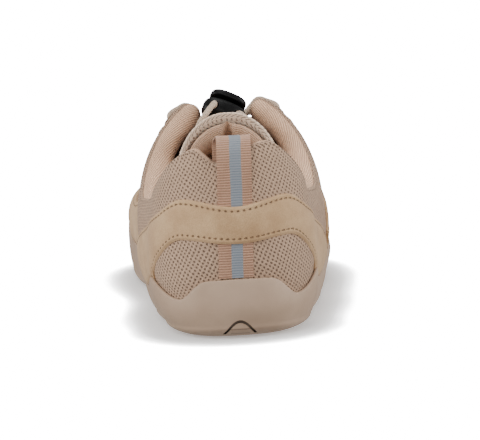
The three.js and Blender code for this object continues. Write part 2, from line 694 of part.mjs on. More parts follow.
// The webbing loop: up the back under the band, off the surface, over the collar and down inside.
function pullLoopSolid() {
  const rim = heelHeight;
  const top = 1.125 * heelHeight;
  const inside = (z) => -wallAt(0, rim - rimRise(0) - z) - gap - 0.6;
  const path = [
    { z: edgeHeight(stations[0]) + 3 * gap, off: gap },
    { z: 0.5 * rim, off: gap },
    { z: 0.64 * rim, off: gap },
    { z: 0.78 * rim, off: gap },
    { z: 0.88 * rim, off: 1.6 },
    { z: 0.98 * rim, off: 2.6 },
    { z: top - 4.5, off: 2.6 },
    { z: top - 1.4, off: 0.9 },
    { z: top, off: -2.4 },
    { z: top - 1.4, off: -5.6 },
    { z: top - 4.5, off: inside(rim) },
    { z: 0.96 * rim, off: inside(rim) - 0.2 },
    { z: 0.88 * rim, off: inside(0.88 * rim) },
    { z: 0.8 * rim, off: inside(0.8 * rim) },
  ];
  const middleX = lastBall * -0.055;
  const place = ({ z, off }, x) => {
    const skin = leaveLast([middleX + x, heelCentreY, z], [0, -1, 0]);
    return [skin[0], skin[1] - off, z];
  };
  const across = [-0.5, -0.17, 0.17, 0.5].map((share) => share * tapeWidth);
  const middle = path.map((at) => place(at, 0));
  const layer = (side) => path.map((at, i) => {
    const before = middle[Math.max(i - 1, 0)];
    const after = middle[Math.min(i + 1, path.length - 1)];
    const along = unit(add(after, before, -1));
    const out = [0, -along[2], along[1]];
    return across.map((x) => add(place(at, x), out, side * tapeThickness));
  });
  return plateSolid(layer(1), layer(0));
}

// The elastic lace across the throat: crossings from the front up to the top eyelets, and a front bar,
// over the edges of the throat and down on to the tongue between them.
const laceOver = gap + overlayThickness + 1.5 * gap + laceDiameter / 2;
const laceOnTongue = laceDiameter / 2 + 5.5 * gap;
function onTongue(run, across, height) {
  const y = heelCentreY + soleLength * (run - runAt(heelCentreY));
  return add(tonguePlace((y - tongueTop) / (tongueFront - tongueTop), across, 0), [0, 0, height]);
}
function laceCrossingsSolid() {
  const strand = (runA, runB, side) => {
    const runMiddle = (runA + runB) / 2;
    const edgeRun = (a, b) => a + 0.3 * (b - a);
    return tubeSolid([
      eyeletPlace(runA, side, laceOver),
      throatPlace(edgeRun(runA, runB), side, 0, laceOver),
      throatPlace(edgeRun(runA, runB), side, -3.5, laceOver - 1),
      onTongue(runMiddle + 0.2 * (runA - runMiddle), 0.16 * side, laceOnTongue),
      onTongue(runMiddle - 0.2 * (runA - runMiddle), -0.16 * side, laceOnTongue),
      throatPlace(edgeRun(runB, runA), -side, -3.5, laceOver - 1),
      throatPlace(edgeRun(runB, runA), -side, 0, laceOver),
      eyeletPlace(runB, -side, laceOver),
    ], laceDiameter, 8, 6);
  };
  const rows = eyeletRuns.slice(1).flatMap((run, i) =>
    [strand(run, eyeletRuns[i], 1), strand(run, eyeletRuns[i], -1)]);
  const front = eyeletRuns[eyeletRuns.length - 1];
  return [...rows, strand(front, front, 1)].reduce((all, one) => all.add(one));
}

// The cord lock lies on the tongue behind the top eyelets, leaning forwards and to the outer side.
const lockTurn = { forward: 36, outward: 25 };
function lockFrame() {
  const wide = new THREE.Vector3(1, 0, 0)
    .applyAxisAngle(new THREE.Vector3(0, 1, 0), lockTurn.outward * Math.PI / 180);
  const up = new THREE.Vector3(0, 0, 1)
    .applyAxisAngle(new THREE.Vector3(1, 0, 0), -lockTurn.forward * Math.PI / 180);
  up.addScaledVector(wide, -up.dot(wide)).normalize();
  const through = new THREE.Vector3().crossVectors(up, wide);
  const seat = tonguePlace(0.25, -0.02, 0);
  const middle = add(seat, [0, 0, 0.59 * lock.depth]);
  return new THREE.Matrix4().makeBasis(wide, through, up).setPosition(...middle);
}
const lockPlace = (x, y, z) => new THREE.Vector3(x, y, z).applyMatrix4(lockFrame()).toArray();

// A rounded pebble of given width, depth and height.
function pebble(width, depth, height, turns = 18, rings = 8) {
  const geometry = new THREE.SphereGeometry(1, turns, rings);
  const place = geometry.getAttribute('position');
  const power = 2.7;
  for (let i = 0; i < place.count; i += 1) {
    const v = [place.getX(i), place.getY(i), place.getZ(i)];
    const size = v.reduce((sum, c) => sum + Math.abs(c) ** power, 0) ** (1 / power);
    place.setXYZ(i, v[0] / size * width / 2, v[1] / size * depth / 2, v[2] / size * height / 2);
  }
  return solidFrom(geometry);
}
function rod(diameter, from, to, turns = 12) {
  const geometry = new THREE.CylinderGeometry(diameter / 2, diameter / 2, to - from, turns);
  geometry.rotateX(Math.PI / 2);
  geometry.translate(0, 0, (from + to) / 2);
  return solidFrom(geometry);
}
function lockBarrelSolid() {
  const bore = rod(lock.stem + 2 * gap, -0.1 * lock.height, lock.height);
  const hole = rod(laceDiameter + 3 * gap, -lock.depth, lock.depth).rotate([90, 0, 0]);
  return pebble(lock.width, lock.depth, lock.height)
    .subtract(bore)
    .subtract(hole.translate([lock.spread, 0, -lock.low]))
    .subtract(hole.translate([-lock.spread, 0, -lock.low]))
    .transform(lockFrame().elements);
}
function lockButtonSolid() {
  const foot = 0.5 * lock.height + lock.travel + gap;
  const stem = rod(lock.stem, -0.1 * lock.height + lock.travel + gap, foot + 0.4 * lock.cap);
  return pebble(0.84 * lock.width, 0.84 * lock.depth, lock.cap, 18, 6)
    .translate([0, 0, foot + lock.cap / 2])
    .add(stem)
    .transform(lockFrame().elements);
}

// The lace's two ends: from under the top eyelets through the lock, joined in a loop that lies
// forwards on the crossings.
function laceEndsSolid() {
  const run = eyeletRuns[0];
  const under = (at, side, below) =>
    throatPlace(at, side, below, -(wallAt(at, below) + 4.4 * gap + laceDiameter / 2));
  const onCloth = 0.8 * laceDiameter + 1.2 * gap;
  const onLaces = laceOnTongue + 1.5 * laceDiameter;
  const half = (side) => [
    under(run, side, eyeletInset),
    under(run - 0.02, side, 4),
    under(run - 0.045, side, 5),
    onTongue(0.432, 0.29 * side, onCloth),
    side < 0 ? onTongue(0.413, -0.24, onCloth) : onTongue(0.422, 0.17, onCloth),
    lockPlace(side * (lock.spread + 0.5), -0.6 * lock.depth, -lock.low - 0.8),
    lockPlace(side * lock.spread, -0.4 * lock.depth, -lock.low),
    lockPlace(side * lock.spread, 0, -lock.low),
    lockPlace(side * lock.spread, 0.54 * lock.depth, -lock.low),
    onTongue(0.52, side * 0.1, onLaces),
    onTongue(0.56, side * 0.13, onLaces),
    onTongue(0.6, side * 0.1, onLaces),
  ];
  const tip = onTongue(0.622, 0, onLaces);
  return tubeSolid([...half(-1), tip, ...half(1).reverse()], laceDiameter, 38, 6);
}

function punched(solid) {
  return eyeletCuts().reduce((left, cut) => left.subtract(cut), solid);
}

const parts = new THREE.Group();
parts.add(meshOf('outsole', outsoleSolid(), 0xa3917f, 0.75));
parts.add(meshOf('upper', punched(upperSolid()), 0xbba892, 0.9));
parts.add(meshOf('insole', insoleSolid(), 0xcab39c, 0.9));
parts.add(meshOf('tongue', tongueSolid(), 0xd9c2aa, 0.9));
parts.add(meshOf('heel_band', heelBandSolid(), 0xb8976f, 0.9));
parts.add(meshOf('toe_guard', toeGuardSolid(), 0xb8976f, 0.9));
parts.add(meshOf('eyestay', punched(eyestaySolid()), 0xb8976f, 0.9));
parts.add(meshOf('pull_loop', pullLoopSolid(), 0xae8f7a, 0.9));
parts.add(meshOf('lace_crossings', laceCrossingsSolid(), 0xcdbeac, 0.8));
parts.add(meshOf('lace_ends', laceEndsSolid(), 0xcdbeac, 0.8));
parts.add(meshOf('lock_barrel', lockBarrelSolid(), 0x1c1c1e, 0.4));
parts.add(meshOf('lock_button', lockButtonSolid(), 0x1c1c1e, 0.4));
export default parts;
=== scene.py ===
import math

import bpy
import numpy as np
from mathutils import Matrix, Vector


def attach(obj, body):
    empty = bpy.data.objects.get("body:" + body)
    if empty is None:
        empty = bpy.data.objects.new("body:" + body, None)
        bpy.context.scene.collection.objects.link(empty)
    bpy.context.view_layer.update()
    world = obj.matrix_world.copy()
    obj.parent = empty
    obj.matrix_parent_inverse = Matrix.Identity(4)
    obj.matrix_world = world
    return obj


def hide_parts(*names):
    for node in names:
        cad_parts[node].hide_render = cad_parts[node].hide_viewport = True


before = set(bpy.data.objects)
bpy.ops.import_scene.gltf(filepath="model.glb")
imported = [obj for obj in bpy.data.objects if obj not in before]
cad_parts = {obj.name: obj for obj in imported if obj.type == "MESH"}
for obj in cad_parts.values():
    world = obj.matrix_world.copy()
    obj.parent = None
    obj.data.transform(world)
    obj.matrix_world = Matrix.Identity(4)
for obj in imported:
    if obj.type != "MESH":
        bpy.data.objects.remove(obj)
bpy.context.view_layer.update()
bpy.ops.object.select_all(action="DESELECT")
mm = 0.001

# The shoe's own sizes, in millimetres, as the CAD model has them
shoe = {
    "length": 262, "ball": 98, "instep": 97, "heel": 73, "floor": 6.5, "wall": 3, "lip": 1.4, "edge": 22,
    "spring": 9, "bevel": 3, "upperWall": 3, "collarPad": 8.5, "padDepth": 30, "gap": 0.35,
    "lean": 0.075,
}
lastBack = -shoe["length"] / 2 + shoe["gap"] + shoe["wall"]
lastFront = shoe["length"] / 2 - shoe["gap"] - shoe["wall"]
lastBall = shoe["ball"] - 2 * (shoe["gap"] + shoe["wall"])
heelCentre = lastBack + 0.13 * shoe["length"]
throatCentre = 0.085 * shoe["length"]


def columnsOf(names, *rows):
    return dict(zip(names.split(), np.array(rows, float).T))


# Every table holds shares: across of the ball, up of the instep or the heel
lastTable = columnsOf(
    "at lateral medial ridgeX widest ridge lateralTuck medialTuck",
    (0.00, 0.31, -0.42, -0.055, 0.28, 1.32, 0.15, 0.2),
    (0.13, 0.313, -0.423, -0.05, 0.28, 1.32, 0.15, 0.2),
    (0.25, 0.38, -0.47, -0.035, 0.34, 1.2, 0.15, 0.2),
    (0.33, 0.42, -0.475, -0.022, 0.36, 1.02, 0.15, 0.24),
    (0.41, 0.445, -0.468, -0.02, 0.36, 0.965, 0.14, 0.26),
    (0.50, 0.462, -0.458, -0.03, 0.32, 0.85, 0.1, 0.24),
    (0.60, 0.487, -0.475, -0.055, 0.26, 0.71, 0.08, 0.13),
    (0.68, 0.5, -0.492, -0.085, 0.23, 0.62, 0.07, 0.08),
    (0.76, 0.485, -0.5, -0.11, 0.23, 0.55, 0.07, 0.07),
    (0.86, 0.44, -0.495, -0.14, 0.25, 0.5, 0.08, 0.08),
    (1.00, 0.36, -0.47, -0.15, 0.28, 0.47, 0.09, 0.09),
)
heelLean = columnsOf("at forward", (0, 0.07), (0.2, 0.012), (0.42, 0), (0.7, 0.02), (1, 0.085), (1.3, 0.17))
collarTable = columnsOf(
    "at lateral medial",
    (0.000, 1.0, 1.0), (0.030, 1.06, 0.995), (0.058, 1.095, 1.04), (0.080, 1.1, 1.075), (0.125, 1.03, 1.02),
    (0.190, 0.87, 0.86), (0.260, 0.775, 0.765), (0.320, 0.765, 0.755), (0.380, 0.86, 0.85),
    (0.425, 1.05, 1.03), (0.465, 1.23, 1.22), (0.500, 1.6, 1.6),
)
throatTable = columnsOf("at half", (0.4, 0), (0.46, 0.195), (0.5, 0.205), (0.64, 0.145), (1, 0.12))
padTable = columnsOf("at pad", (0, 0.8), (0.2, 1), (0.47, 1.3), (0.56, 0.36), (1, 0.3))
edgeTable = columnsOf(
    "at lateral medial",
    (0.00, 1.12, 1.12), (0.05, 1.1, 1.1), (0.10, 0.75, 0.75), (0.19, 1.05, 1.05), (0.30, 0.72, 0.75),
    (0.40, 0.88, 1.0), (0.50, 0.66, 0.75), (0.60, 0.98, 0.95), (0.72, 0.75, 1.0), (0.85, 1.1, 1.3),
    (1.00, 1.55, 1.55),
)
bandTable = columnsOf(
    "at low high",
    (0, 0.538, 0.74), (0.088, 0.566, 0.787), (0.15, 0.44, 0.7), (0.195, 0.3, 0.645), (0.285, 0.18, 0.545),
    (0.42, 0.16, 0.35),
)
guardTable = columnsOf("at reach", (0.52, 0.22), (0.56, 0.4), (0.62, 0.5), (0.72, 0.46), (0.86, 0.4), (1, 0.36))
tongueTable = columnsOf(
    "at middle side thick",
    (0, 2.15, 1.75, 1), (0.12, 2.1, 1.8, 1), (0.27, 2.2, 2.1, 0.95), (0.38, 2.1, 2, 0.85), (0.5, 1.3, 1.6, 0.75),
    (0.75, 0.75, 0.85, 0.6), (1, 0.45, 0.57, 0.55),
)


def readTable(table, column, at):
    xs, ys = table["at"], table[column]
    slopes = np.diff(ys) / np.diff(xs)
    bends = np.zeros(len(xs))
    before, after = slopes[:-1], slopes[1:]
    same = before * after > 0
    bends[1:-1][same] = 2 * before[same] * after[same] / (before[same] + after[same])
    place = np.clip(at, xs[0], xs[-1])
    i = np.clip(np.searchsorted(xs, place) - 1, 0, len(xs) - 2)
    span = xs[i + 1] - xs[i]
    t = (place - xs[i]) / span
    turn = t * t * (3 - 2 * t)
    ease = bends[i] * t * (1 - t) ** 2 - bends[i + 1] * t * t * (1 - t)
    return ys[i] * (1 - turn) + ys[i + 1] * turn + span * ease


def smooth(value):
    t = np.clip(value, 0, 1)
    return t * t * (3 - 2 * t)


def unit(vectors):
    return vectors / np.maximum(np.linalg.norm(vectors, axis=-1, keepdims=True), 1e-9)


def roundedEnd(fromTip, length, power):
    return (1 - np.clip(1 - fromTip / length, 0, 1) ** power) ** (1 / power)


def springAt(y):
    return shoe["spring"] * np.clip((y / shoe["length"] + 0.5 - 0.7) / 0.3, 0, 1) ** 2


def groundAt(y):
    return springAt(y) + shoe["bevel"] * np.clip(1 - (y / shoe["length"] + 0.5) / 0.07, 0, 1) ** 2


def seatAt(y):
    return shoe["floor"] + springAt(y)


def insideLast(points):
    x, y, z = points[..., 0], points[..., 1], points[..., 2]
    back = lastBack + shoe["heel"] * readTable(heelLean, "forward", z / shoe["heel"])
    along = (y - back) / (lastFront - back)
    row = {name: readTable(lastTable, name, along) for name in lastTable if name != "at"}
    forefoot = smooth((along - 0.5) / 0.2) * (1 - smooth((along - 0.76) / 0.15))
    lean = np.where(x > row["ridgeX"] * lastBall, -1, 1) * shoe["lean"] * forefoot
    widest = (row["widest"] + lean) * shoe["instep"] + springAt(y)
    toeBox = roundedEnd(1 - along, 0.13, 2.3)
    ridge = widest + (row["ridge"] * shoe["instep"] - widest + springAt(y)) * toeBox
    outer = x > row["ridgeX"] * lastBall
    ends = roundedEnd(along, 0.135, 2.2) * roundedEnd(1 - along, 0.2, 2.15)
    reach = np.where(outer, row["lateral"], row["medial"]) - row["ridgeX"]
    half = np.abs(reach) * lastBall * ends
    up = np.clip((z - widest) / np.maximum(ridge - widest, 1e-6), 0, 1)
    down = (widest - z) / (widest - seatAt(y))
    tuck = np.where(outer, row["lateralTuck"], row["medialTuck"])
    share = np.where(z > widest, (1 - up**2.05) ** (1 / 2.05), 1 - tuck * down**2)
    return (along > 0) & (along < 1) & (np.abs(x - row["ridgeX"] * lastBall) < half * share)


def leaveLast(start, direction):
    near = np.zeros(direction.shape[:-1])
    far = np.full(direction.shape[:-1], lastFront - lastBack)
    for _ in range(24):
        middle = (near + far) / 2
        inside = insideLast(start + direction * middle[..., None])
        near = np.where(inside, middle, near)
        far = np.where(inside, far, middle)
    return start + direction * near[..., None]


# Stations round the shoe, from the back of the heel by the outer side to the toe and back
steps = {"heel": 42, "side": 84, "toe": 60}
halfTurn = sum(steps.values())
count = 2 * halfTurn


def stationColumns():
    heelRun = (heelCentre - lastBack) * math.pi / 2 / shoe["length"]
    sideRun = (throatCentre - heelCentre) / shoe["length"]
    heelShare = np.arange(steps["heel"]) / steps["heel"]
    sideShare = np.arange(steps["side"]) / steps["side"]
    toeShare = np.arange(steps["toe"] + 1) / steps["toe"]
    y = np.concatenate([
        np.full(steps["heel"], heelCentre), heelCentre + sideShare * (throatCentre - heelCentre),
        np.full(steps["toe"] + 1, throatCentre),
    ])
    turn = np.concatenate([
        (heelShare - 1) * math.pi / 2, np.zeros(steps["side"]), (1 - (1 - toeShare) ** 1.35) * math.pi / 2,
    ])
    run = np.concatenate([
        heelRun * heelShare, heelRun + sideRun * sideShare,
        heelRun + sideRun + (1 - heelRun - sideRun) * toeShare,
    ])
    back = np.arange(halfTurn - 1, 0, -1)
    y, turn, run = (np.concatenate([v, v[back]]) for v in (y, turn, run))
    side = np.where(np.arange(count) <= halfTurn, 1, -1)
    ridgeX = lastBall * readTable(lastTable, "ridgeX", (y - lastBack) / (lastFront - lastBack))
    centre = np.stack([ridgeX, y], axis=1)
    direction = np.stack([side * np.cos(turn), np.sin(turn)], axis=1)
    return centre, direction, run, side > 0


centre, direction, run, lateral = stationColumns()
angles = np.radians(np.arange(-50, 89, 0.7))
rays = np.stack([
    direction[:, None, 0] * np.cos(angles), direction[:, None, 1] * np.cos(angles),
    np.broadcast_to(np.sin(angles), (count, len(angles))),
], axis=-1)
starts = np.concatenate([centre, np.full((count, 1), 0.25 * shoe["instep"])], axis=1)
skins = leaveLast(starts[:, None, :], rays)
skinLengths = np.concatenate(
    [np.zeros((count, 1)), np.cumsum(np.linalg.norm(np.diff(skins, axis=1), axis=2), axis=1)], axis=1)
print("last drawn:", count, "stations")


def sided(table, at):
    return np.where(lateral, readTable(table, "lateral", at), readTable(table, "medial", at))


def lengthUntil(values):
    # the first length along each skin at which its values reach 0
    reached = values[:, 1:] >= 0
    i = np.where(reached.any(axis=1), reached.argmax(axis=1), values.shape[1] - 2)
    j = np.arange(count)
    before, after = values[j, i], values[j, i + 1]
    share = np.clip(before / np.where(before == after, 1, before - after), 0, 1)
    return skinLengths[j, i] + share * (skinLengths[j, i + 1] - skinLengths[j, i])


def softMax(a, b, reach):
    return np.maximum(a, b) + np.maximum(reach - np.abs(a - b), 0) ** 2 / (4 * reach)


def padAt(at):
    return shoe["collarPad"] * readTable(padTable, "pad", at)


def wallAt(at, belowRim):
    top = np.maximum(shoe["upperWall"], padAt(at))
    return shoe["upperWall"] + (top - shoe["upperWall"]) * smooth(1 - belowRim / shoe["padDepth"])


rimRise = 0.42 * padAt(run)
fromCentre = np.hypot(skins[..., 0] - centre[:, None, 0], skins[..., 1] - centre[:, None, 1])
collarHeight = shoe["heel"] * sided(collarTable, run) - rimRise
inThroat = (lastBall * readTable(throatTable, "half", run))[:, None] - fromCentre
toplineTest = softMax(skins[..., 2] - collarHeight[:, None], inThroat, 0.13 * shoe["heel"])
topline = lengthUntil(np.where(skins[..., 2] < 0.3 * shoe["instep"], -1, toplineTest))
feather = lengthUntil(skins[..., 2] - seatAt(skins[..., 1]) - shoe["gap"])
edgeHeight = shoe["edge"] * sided(edgeTable, run)
seat = lengthUntil(skins[..., 2] - seatAt(skins[..., 1]))
soleEdge = lengthUntil(skins[..., 2] - edgeHeight[:, None] - springAt(skins[..., 1]))
overSole = lengthUntil(skins[..., 2] - edgeHeight[:, None] - springAt(skins[..., 1]) - 2 * shoe["gap"])


def atHeight(height):
    return lengthUntil(skins[..., 2] - height[:, None])


def onSkin(lengths, columns=None):
    # points of the last at lengths[row, column], for some stations or all of them
    columns = np.arange(count) if columns is None else columns
    points = np.empty(lengths.shape + (3,))
    for c, j in enumerate(columns):
        for axis in range(3):
            points[:, c, axis] = np.interp(lengths[:, c], skinLengths[j], skins[j, :, axis])
    return points


def offSkin(lengths, offset):
    # rings of points at lengths[row, station], moved off the last
    here = onSkin(lengths)
    around = np.roll(here, -1, axis=1) - np.roll(here, 1, axis=1)
    upwards = onSkin(lengths + 2) - onSkin(lengths - 2)
    normals = unit(np.cross(around, upwards))
    return here + normals * np.broadcast_to(offset, lengths.shape)[..., None]


def tonguePlace(along, across, depth):
    along, across, depth = np.broadcast_arrays(along, across, depth)
    top = lastBack + 0.325 * shoe["length"] + 0.035 * shoe["length"] * across**4
    y = top + along * (throatCentre + 0.05 * shoe["length"] - top)
    ridgeX = lastBall * readTable(lastTable, "ridgeX", (y - lastBack) / (lastFront - lastBack))
    lean = across * np.radians(50 - 14 * along)
    way = np.stack([np.sin(lean), np.zeros_like(lean), np.cos(lean)], axis=-1)
    start = np.stack([ridgeX, y, np.full_like(y, 0.25 * shoe["instep"])], axis=-1)
    middle = readTable(tongueTable, "middle", along)
    side = readTable(tongueTable, "side", along) * np.where(across > 0, 0.86, 1)
    sunk = shoe["collarPad"] * (middle + (side - middle) * np.abs(across) ** 1.1)
    thick = tongue["thick"] * readTable(tongueTable, "thick", along)
    return leaveLast(start, way) - way * (sunk + depth * thick)[..., None]


tongue = {"thick": 8, "cover": 0.44, "columns": 120, "rows": 80}


# The photograph's camera: behind the heel, a little above and to the left, leaning three degrees
def makeCamera():
    turn, pitch, lean = math.radians(2.8), math.radians(6.79), math.radians(-3)
    way = Vector((math.sin(turn) * math.cos(pitch), math.cos(turn) * math.cos(pitch), -math.sin(pitch)))
    place = Matrix.Translation(Vector((-48.3, -1055.0, 159.4)) * mm)
    bpy.ops.object.camera_add()
    camera = bpy.context.object
    camera.matrix_world = place @ way.to_track_quat("-Z", "Y").to_matrix().to_4x4() @ Matrix.Rotation(lean, 4, "Z")
    camera.data.lens = 174.6
    camera.data.sensor_width = 36
    camera.data.clip_start = 0.05
    camera.data.clip_end = 100
    bpy.context.scene.camera = camera


makeCamera()


# Making meshes: a flat grid is cut, then its corners are laid where the pattern goes
def laid(name, points, flat=None, close=False):
    rows, columns = points.shape[:2]
    bpy.ops.mesh.primitive_grid_add(x_subdivisions=columns - 1, y_subdivisions=rows - 1, size=1)
    piece = bpy.context.object
    piece.name = piece.data.name = name
    mesh = piece.data
    places = np.empty(len(mesh.vertices) * 3)
    mesh.vertices.foreach_get("co", places)
    places = places.reshape(-1, 3)
    column = np.rint((places[:, 0] + 0.5) * (columns - 1)).astype(int)
    row = np.rint((places[:, 1] + 0.5) * (rows - 1)).astype(int)
    mesh.vertices.foreach_set("co", (points[row, column] * mm).ravel())
    corner = np.empty(len(mesh.loops), np.int32)
    mesh.loops.foreach_get("vertex_index", corner)
    for i, (layerName, values) in enumerate((flat or {}).items()):
        layer = mesh.uv_layers[0] if i == 0 else mesh.uv_layers.new(name=layerName)
        layer.name = layerName
        layer.uv.foreach_set("vector", values[row[corner], column[corner]].astype(np.float32).ravel())
    if close:
        bpy.ops.object.mode_set(mode="EDIT")
        bpy.ops.mesh.select_all(action="SELECT")
        bpy.ops.mesh.remove_doubles(threshold=0.02 * mm)
        bpy.ops.object.mode_set(mode="OBJECT")
    mesh.update()
    bpy.ops.object.shade_smooth()
    return piece


def finished(piece, thickness=0, bevel=0, angle=50, smoothAngle=None):
    bpy.ops.object.select_all(action="DESELECT")
    bpy.context.view_layer.objects.active = piece
    piece.select_set(True)
    if thickness:
        solid = piece.modifiers.new("Thickness", "SOLIDIFY")
        solid.thickness = thickness * mm
        solid.offset = -1
        bpy.ops.object.modifier_apply(modifier=solid.name)
    if bevel:
        soft = piece.modifiers.new("Edge", "BEVEL")
        soft.width = bevel * mm
        soft.segments = 3
        soft.limit_method = "ANGLE"
        soft.angle_limit = math.radians(angle)
        bpy.ops.object.modifier_apply(modifier=soft.name)
    if smoothAngle:
        bpy.ops.object.shade_smooth_by_angle(angle=math.radians(smoothAngle))
    bpy.ops.object.select_all(action="DESELECT")
    return piece


def alongOf(points):
    # running lengths along the last axis but one
    gaps = np.linalg.norm(np.diff(points, axis=-2), axis=-1)
    return np.concatenate([np.zeros(points.shape[:-2] + (1,)), np.cumsum(gaps, axis=-1)], axis=-1)


def curveThrough(points, spacing):
    # a centripetal Catmull-Rom line through the points, in even steps
    points = np.array(points, float)
    ends = [2 * points[0] - points[1], *points, 2 * points[-1] - points[-2]]
    line = []
    for p0, p1, p2, p3 in zip(ends, ends[1:], ends[2:], ends[3:]):
        knots = np.cumsum([0] + [max(np.linalg.norm(b - a) ** 0.5, 1e-4) for a, b in ((p0, p1), (p1, p2), (p2, p3))])
        t = np.linspace(knots[1], knots[2], 25)[:-1, None]
        a1 = (knots[1] - t) / (knots[1] - knots[0]) * p0 + (t - knots[0]) / (knots[1] - knots[0]) * p1
        a2 = (knots[2] - t) / (knots[2] - knots[1]) * p1 + (t - knots[1]) / (knots[2] - knots[1]) * p2
        a3 = (knots[3] - t) / (knots[3] - knots[2]) * p2 + (t - knots[2]) / (knots[3] - knots[2]) * p3
        b1 = (knots[2] - t) / (knots[2] - knots[0]) * a1 + (t - knots[0]) / (knots[2] - knots[0]) * a2
        b2 = (knots[3] - t) / (knots[3] - knots[1]) * a2 + (t - knots[1]) / (knots[3] - knots[1]) * a3
        line.append((knots[2] - t) / (knots[2] - knots[1]) * b1 + (t - knots[1]) / (knots[2] - knots[1]) * b2)
    line = np.concatenate([*line, points[-1:]])
    lengths = alongOf(line)
    even = np.linspace(0, lengths[-1], max(int(round(lengths[-1] / spacing)), 2) + 1)
    return np.stack([np.interp(even, lengths, line[:, axis]) for axis in range(3)], axis=1)


def tubeRings(line, diameter, sides):
    # rings round a line, carried along it without twist, and drawn in at both ends
    tangents = unit(np.gradient(line, axis=0))
    normal = unit(np.cross(tangents[0], [0.3, 0.5, 0.81]))
    rings = []
    shares = np.linspace(0, 2 * math.pi, sides + 1)
    for place, tangent in zip(line, tangents):
        normal = unit(normal - tangent * (normal @ tangent))
        other = np.cross(tangent, normal)
        rings.append(place + (np.outer(np.cos(shares), normal) + np.outer(np.sin(shares), other)) * diameter / 2)
    rings = np.array(rings)
    rings[:, -1] = rings[:, 0]
    first, last = line[0] - tangents[0] * 0, line[-1] + tangents[-1] * 0
    caps = [np.broadcast_to(first, rings[0].shape), np.broadcast_to(last, rings[0].shape)]
    return np.concatenate([caps[:1], rings, caps[1:]])


def tube(name, line, diameter, sides=12):
    rings = tubeRings(line, diameter, sides)
    lengths = alongOf(np.concatenate([line[:1], line, line[-1:]]))
    around = np.linspace(0, math.pi * diameter, sides + 1)
    flat = np.stack(np.broadcast_arrays(around[None, :], lengths[:, None]), axis=-1)
    return laid(name, rings, {"UVMap": flat}, close=True)


# The lace and its lock
lock = {"width": 20, "depth": 12.6, "height": 8.6, "cap": 3.6, "travel": 1.2, "stem": 4, "spread": 5.5, "low": 1.4,
        "forward": 36, "outward": 25}
lace = {"diameter": 2.6, "runs": [0.518, 0.558, 0.598, 0.638], "inset": 0.07 * lastBall, "overlay": 1.4,
        "coverUp": 1.5}


def throatPlace(at, side, below, offset):
    found = int(np.argmax(run[: halfTurn + 1] >= at))
    share = (at - run[found - 1]) / (run[found] - run[found - 1])
    rings = offSkin((topline - below)[None, :], offset)[0]
    pick = [found - 1, found] if side > 0 else [(count - found + 1) % count, (count - found) % count]
    return rings[pick[0]] * (1 - share) + rings[pick[1]] * share


def onTongue(at, across, height):
    heelRun = (heelCentre - lastBack) * math.pi / 2 / shoe["length"]
    y = heelCentre + shoe["length"] * (at - heelRun)
    top = lastBack + 0.325 * shoe["length"]
    along = (y - top) / (throatCentre + 0.05 * shoe["length"] - top)
    return tonguePlace(along, across, 0.0) + np.array([0, 0, height])


def lockMatrix():
    wide = Matrix.Rotation(math.radians(lock["outward"]), 3, "Y") @ Vector((1, 0, 0))
    up = Matrix.Rotation(math.radians(-lock["forward"]), 3, "X") @ Vector((0, 0, 1))
    up = (up - wide * up.dot(wide)).normalized()
    through = up.cross(wide)
    middle = Vector(tonguePlace(0.25, -0.02, 0.0)) + Vector((0, 0, 0.59 * lock["depth"]))
    matrix = Matrix((wide, through, up)).transposed().to_4x4()
    matrix.translation = middle
    return matrix


lockFrame = lockMatrix()


def lockPlace(x, y, z):
    return np.array(lockFrame @ Vector((x, y, z)))


def laceEndLine():
    at = lace["runs"][0]
    onCloth = 0.8 * lace["diameter"] + 1.2 * shoe["gap"]
    onLaces = lace["diameter"] / 2 + 5.5 * shoe["gap"] + 1.5 * lace["diameter"]

    def under(place, side, below):
        return throatPlace(place, side, below, -(wallAt(place, below) + 4.4 * shoe["gap"] + lace["diameter"] / 2))

    def half(side):
        return [
            under(at, side, lace["inset"]),
            under(at - 0.02, side, 4),
            under(at - 0.045, side, 5),
            onTongue(0.432, 0.29 * side, onCloth),
            onTongue(0.413, -0.24, onCloth) if side < 0 else onTongue(0.422, 0.17, onCloth),
            lockPlace(side * (lock["spread"] + 0.5), -0.6 * lock["depth"], -lock["low"] - 0.8),
            lockPlace(side * lock["spread"], -0.4 * lock["depth"], -lock["low"]),
            lockPlace(side * lock["spread"], 0, -lock["low"]),
            lockPlace(side * lock["spread"], 0.54 * lock["depth"], -lock["low"]),
            onTongue(0.52, side * 0.1, onLaces),
            onTongue(0.56, side * 0.13, onLaces),
            onTongue(0.6, side * 0.1, onLaces),
        ]

    return curveThrough([*half(-1), onTongue(0.622, 0.0, onLaces), *half(1)[::-1]], 1.2)


laceLine = laceEndLine()
laceEnds = tube("lace_cord", laceLine, lace["diameter"])
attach(laceEnds, "shoe")
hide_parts("lace_ends")
laceLine[0] * mm
laceLine * mm


# Shader maths: a signal is one socket, and sums on it add its nodes
class Signal:
    def __init__(self, finish, socket):
        self.finish = finish
        self.socket = socket

    def worked(self, operation, *others, clamp=False):
        settings = {"operation": operation, "use_clamp": clamp}
        return self.finish.node("Math", settings, dict(enumerate((self, *others))))

    def sibling(self, name):
        return Signal(self.finish, self.socket.node.outputs[name])

    def __add__(self, other):
        return self.worked("ADD", other)

    def __sub__(self, other):
        return self.worked("SUBTRACT", other)

    def __rsub__(self, other):
        return self.finish.node("Math", {"operation": "SUBTRACT"}, {0: other, 1: self})

    def __mul__(self, other):
        return self.worked("MULTIPLY", other)

    def __truediv__(self, other):
        return self.worked("DIVIDE", other)

    __radd__ = __add__
    __rmul__ = __mul__


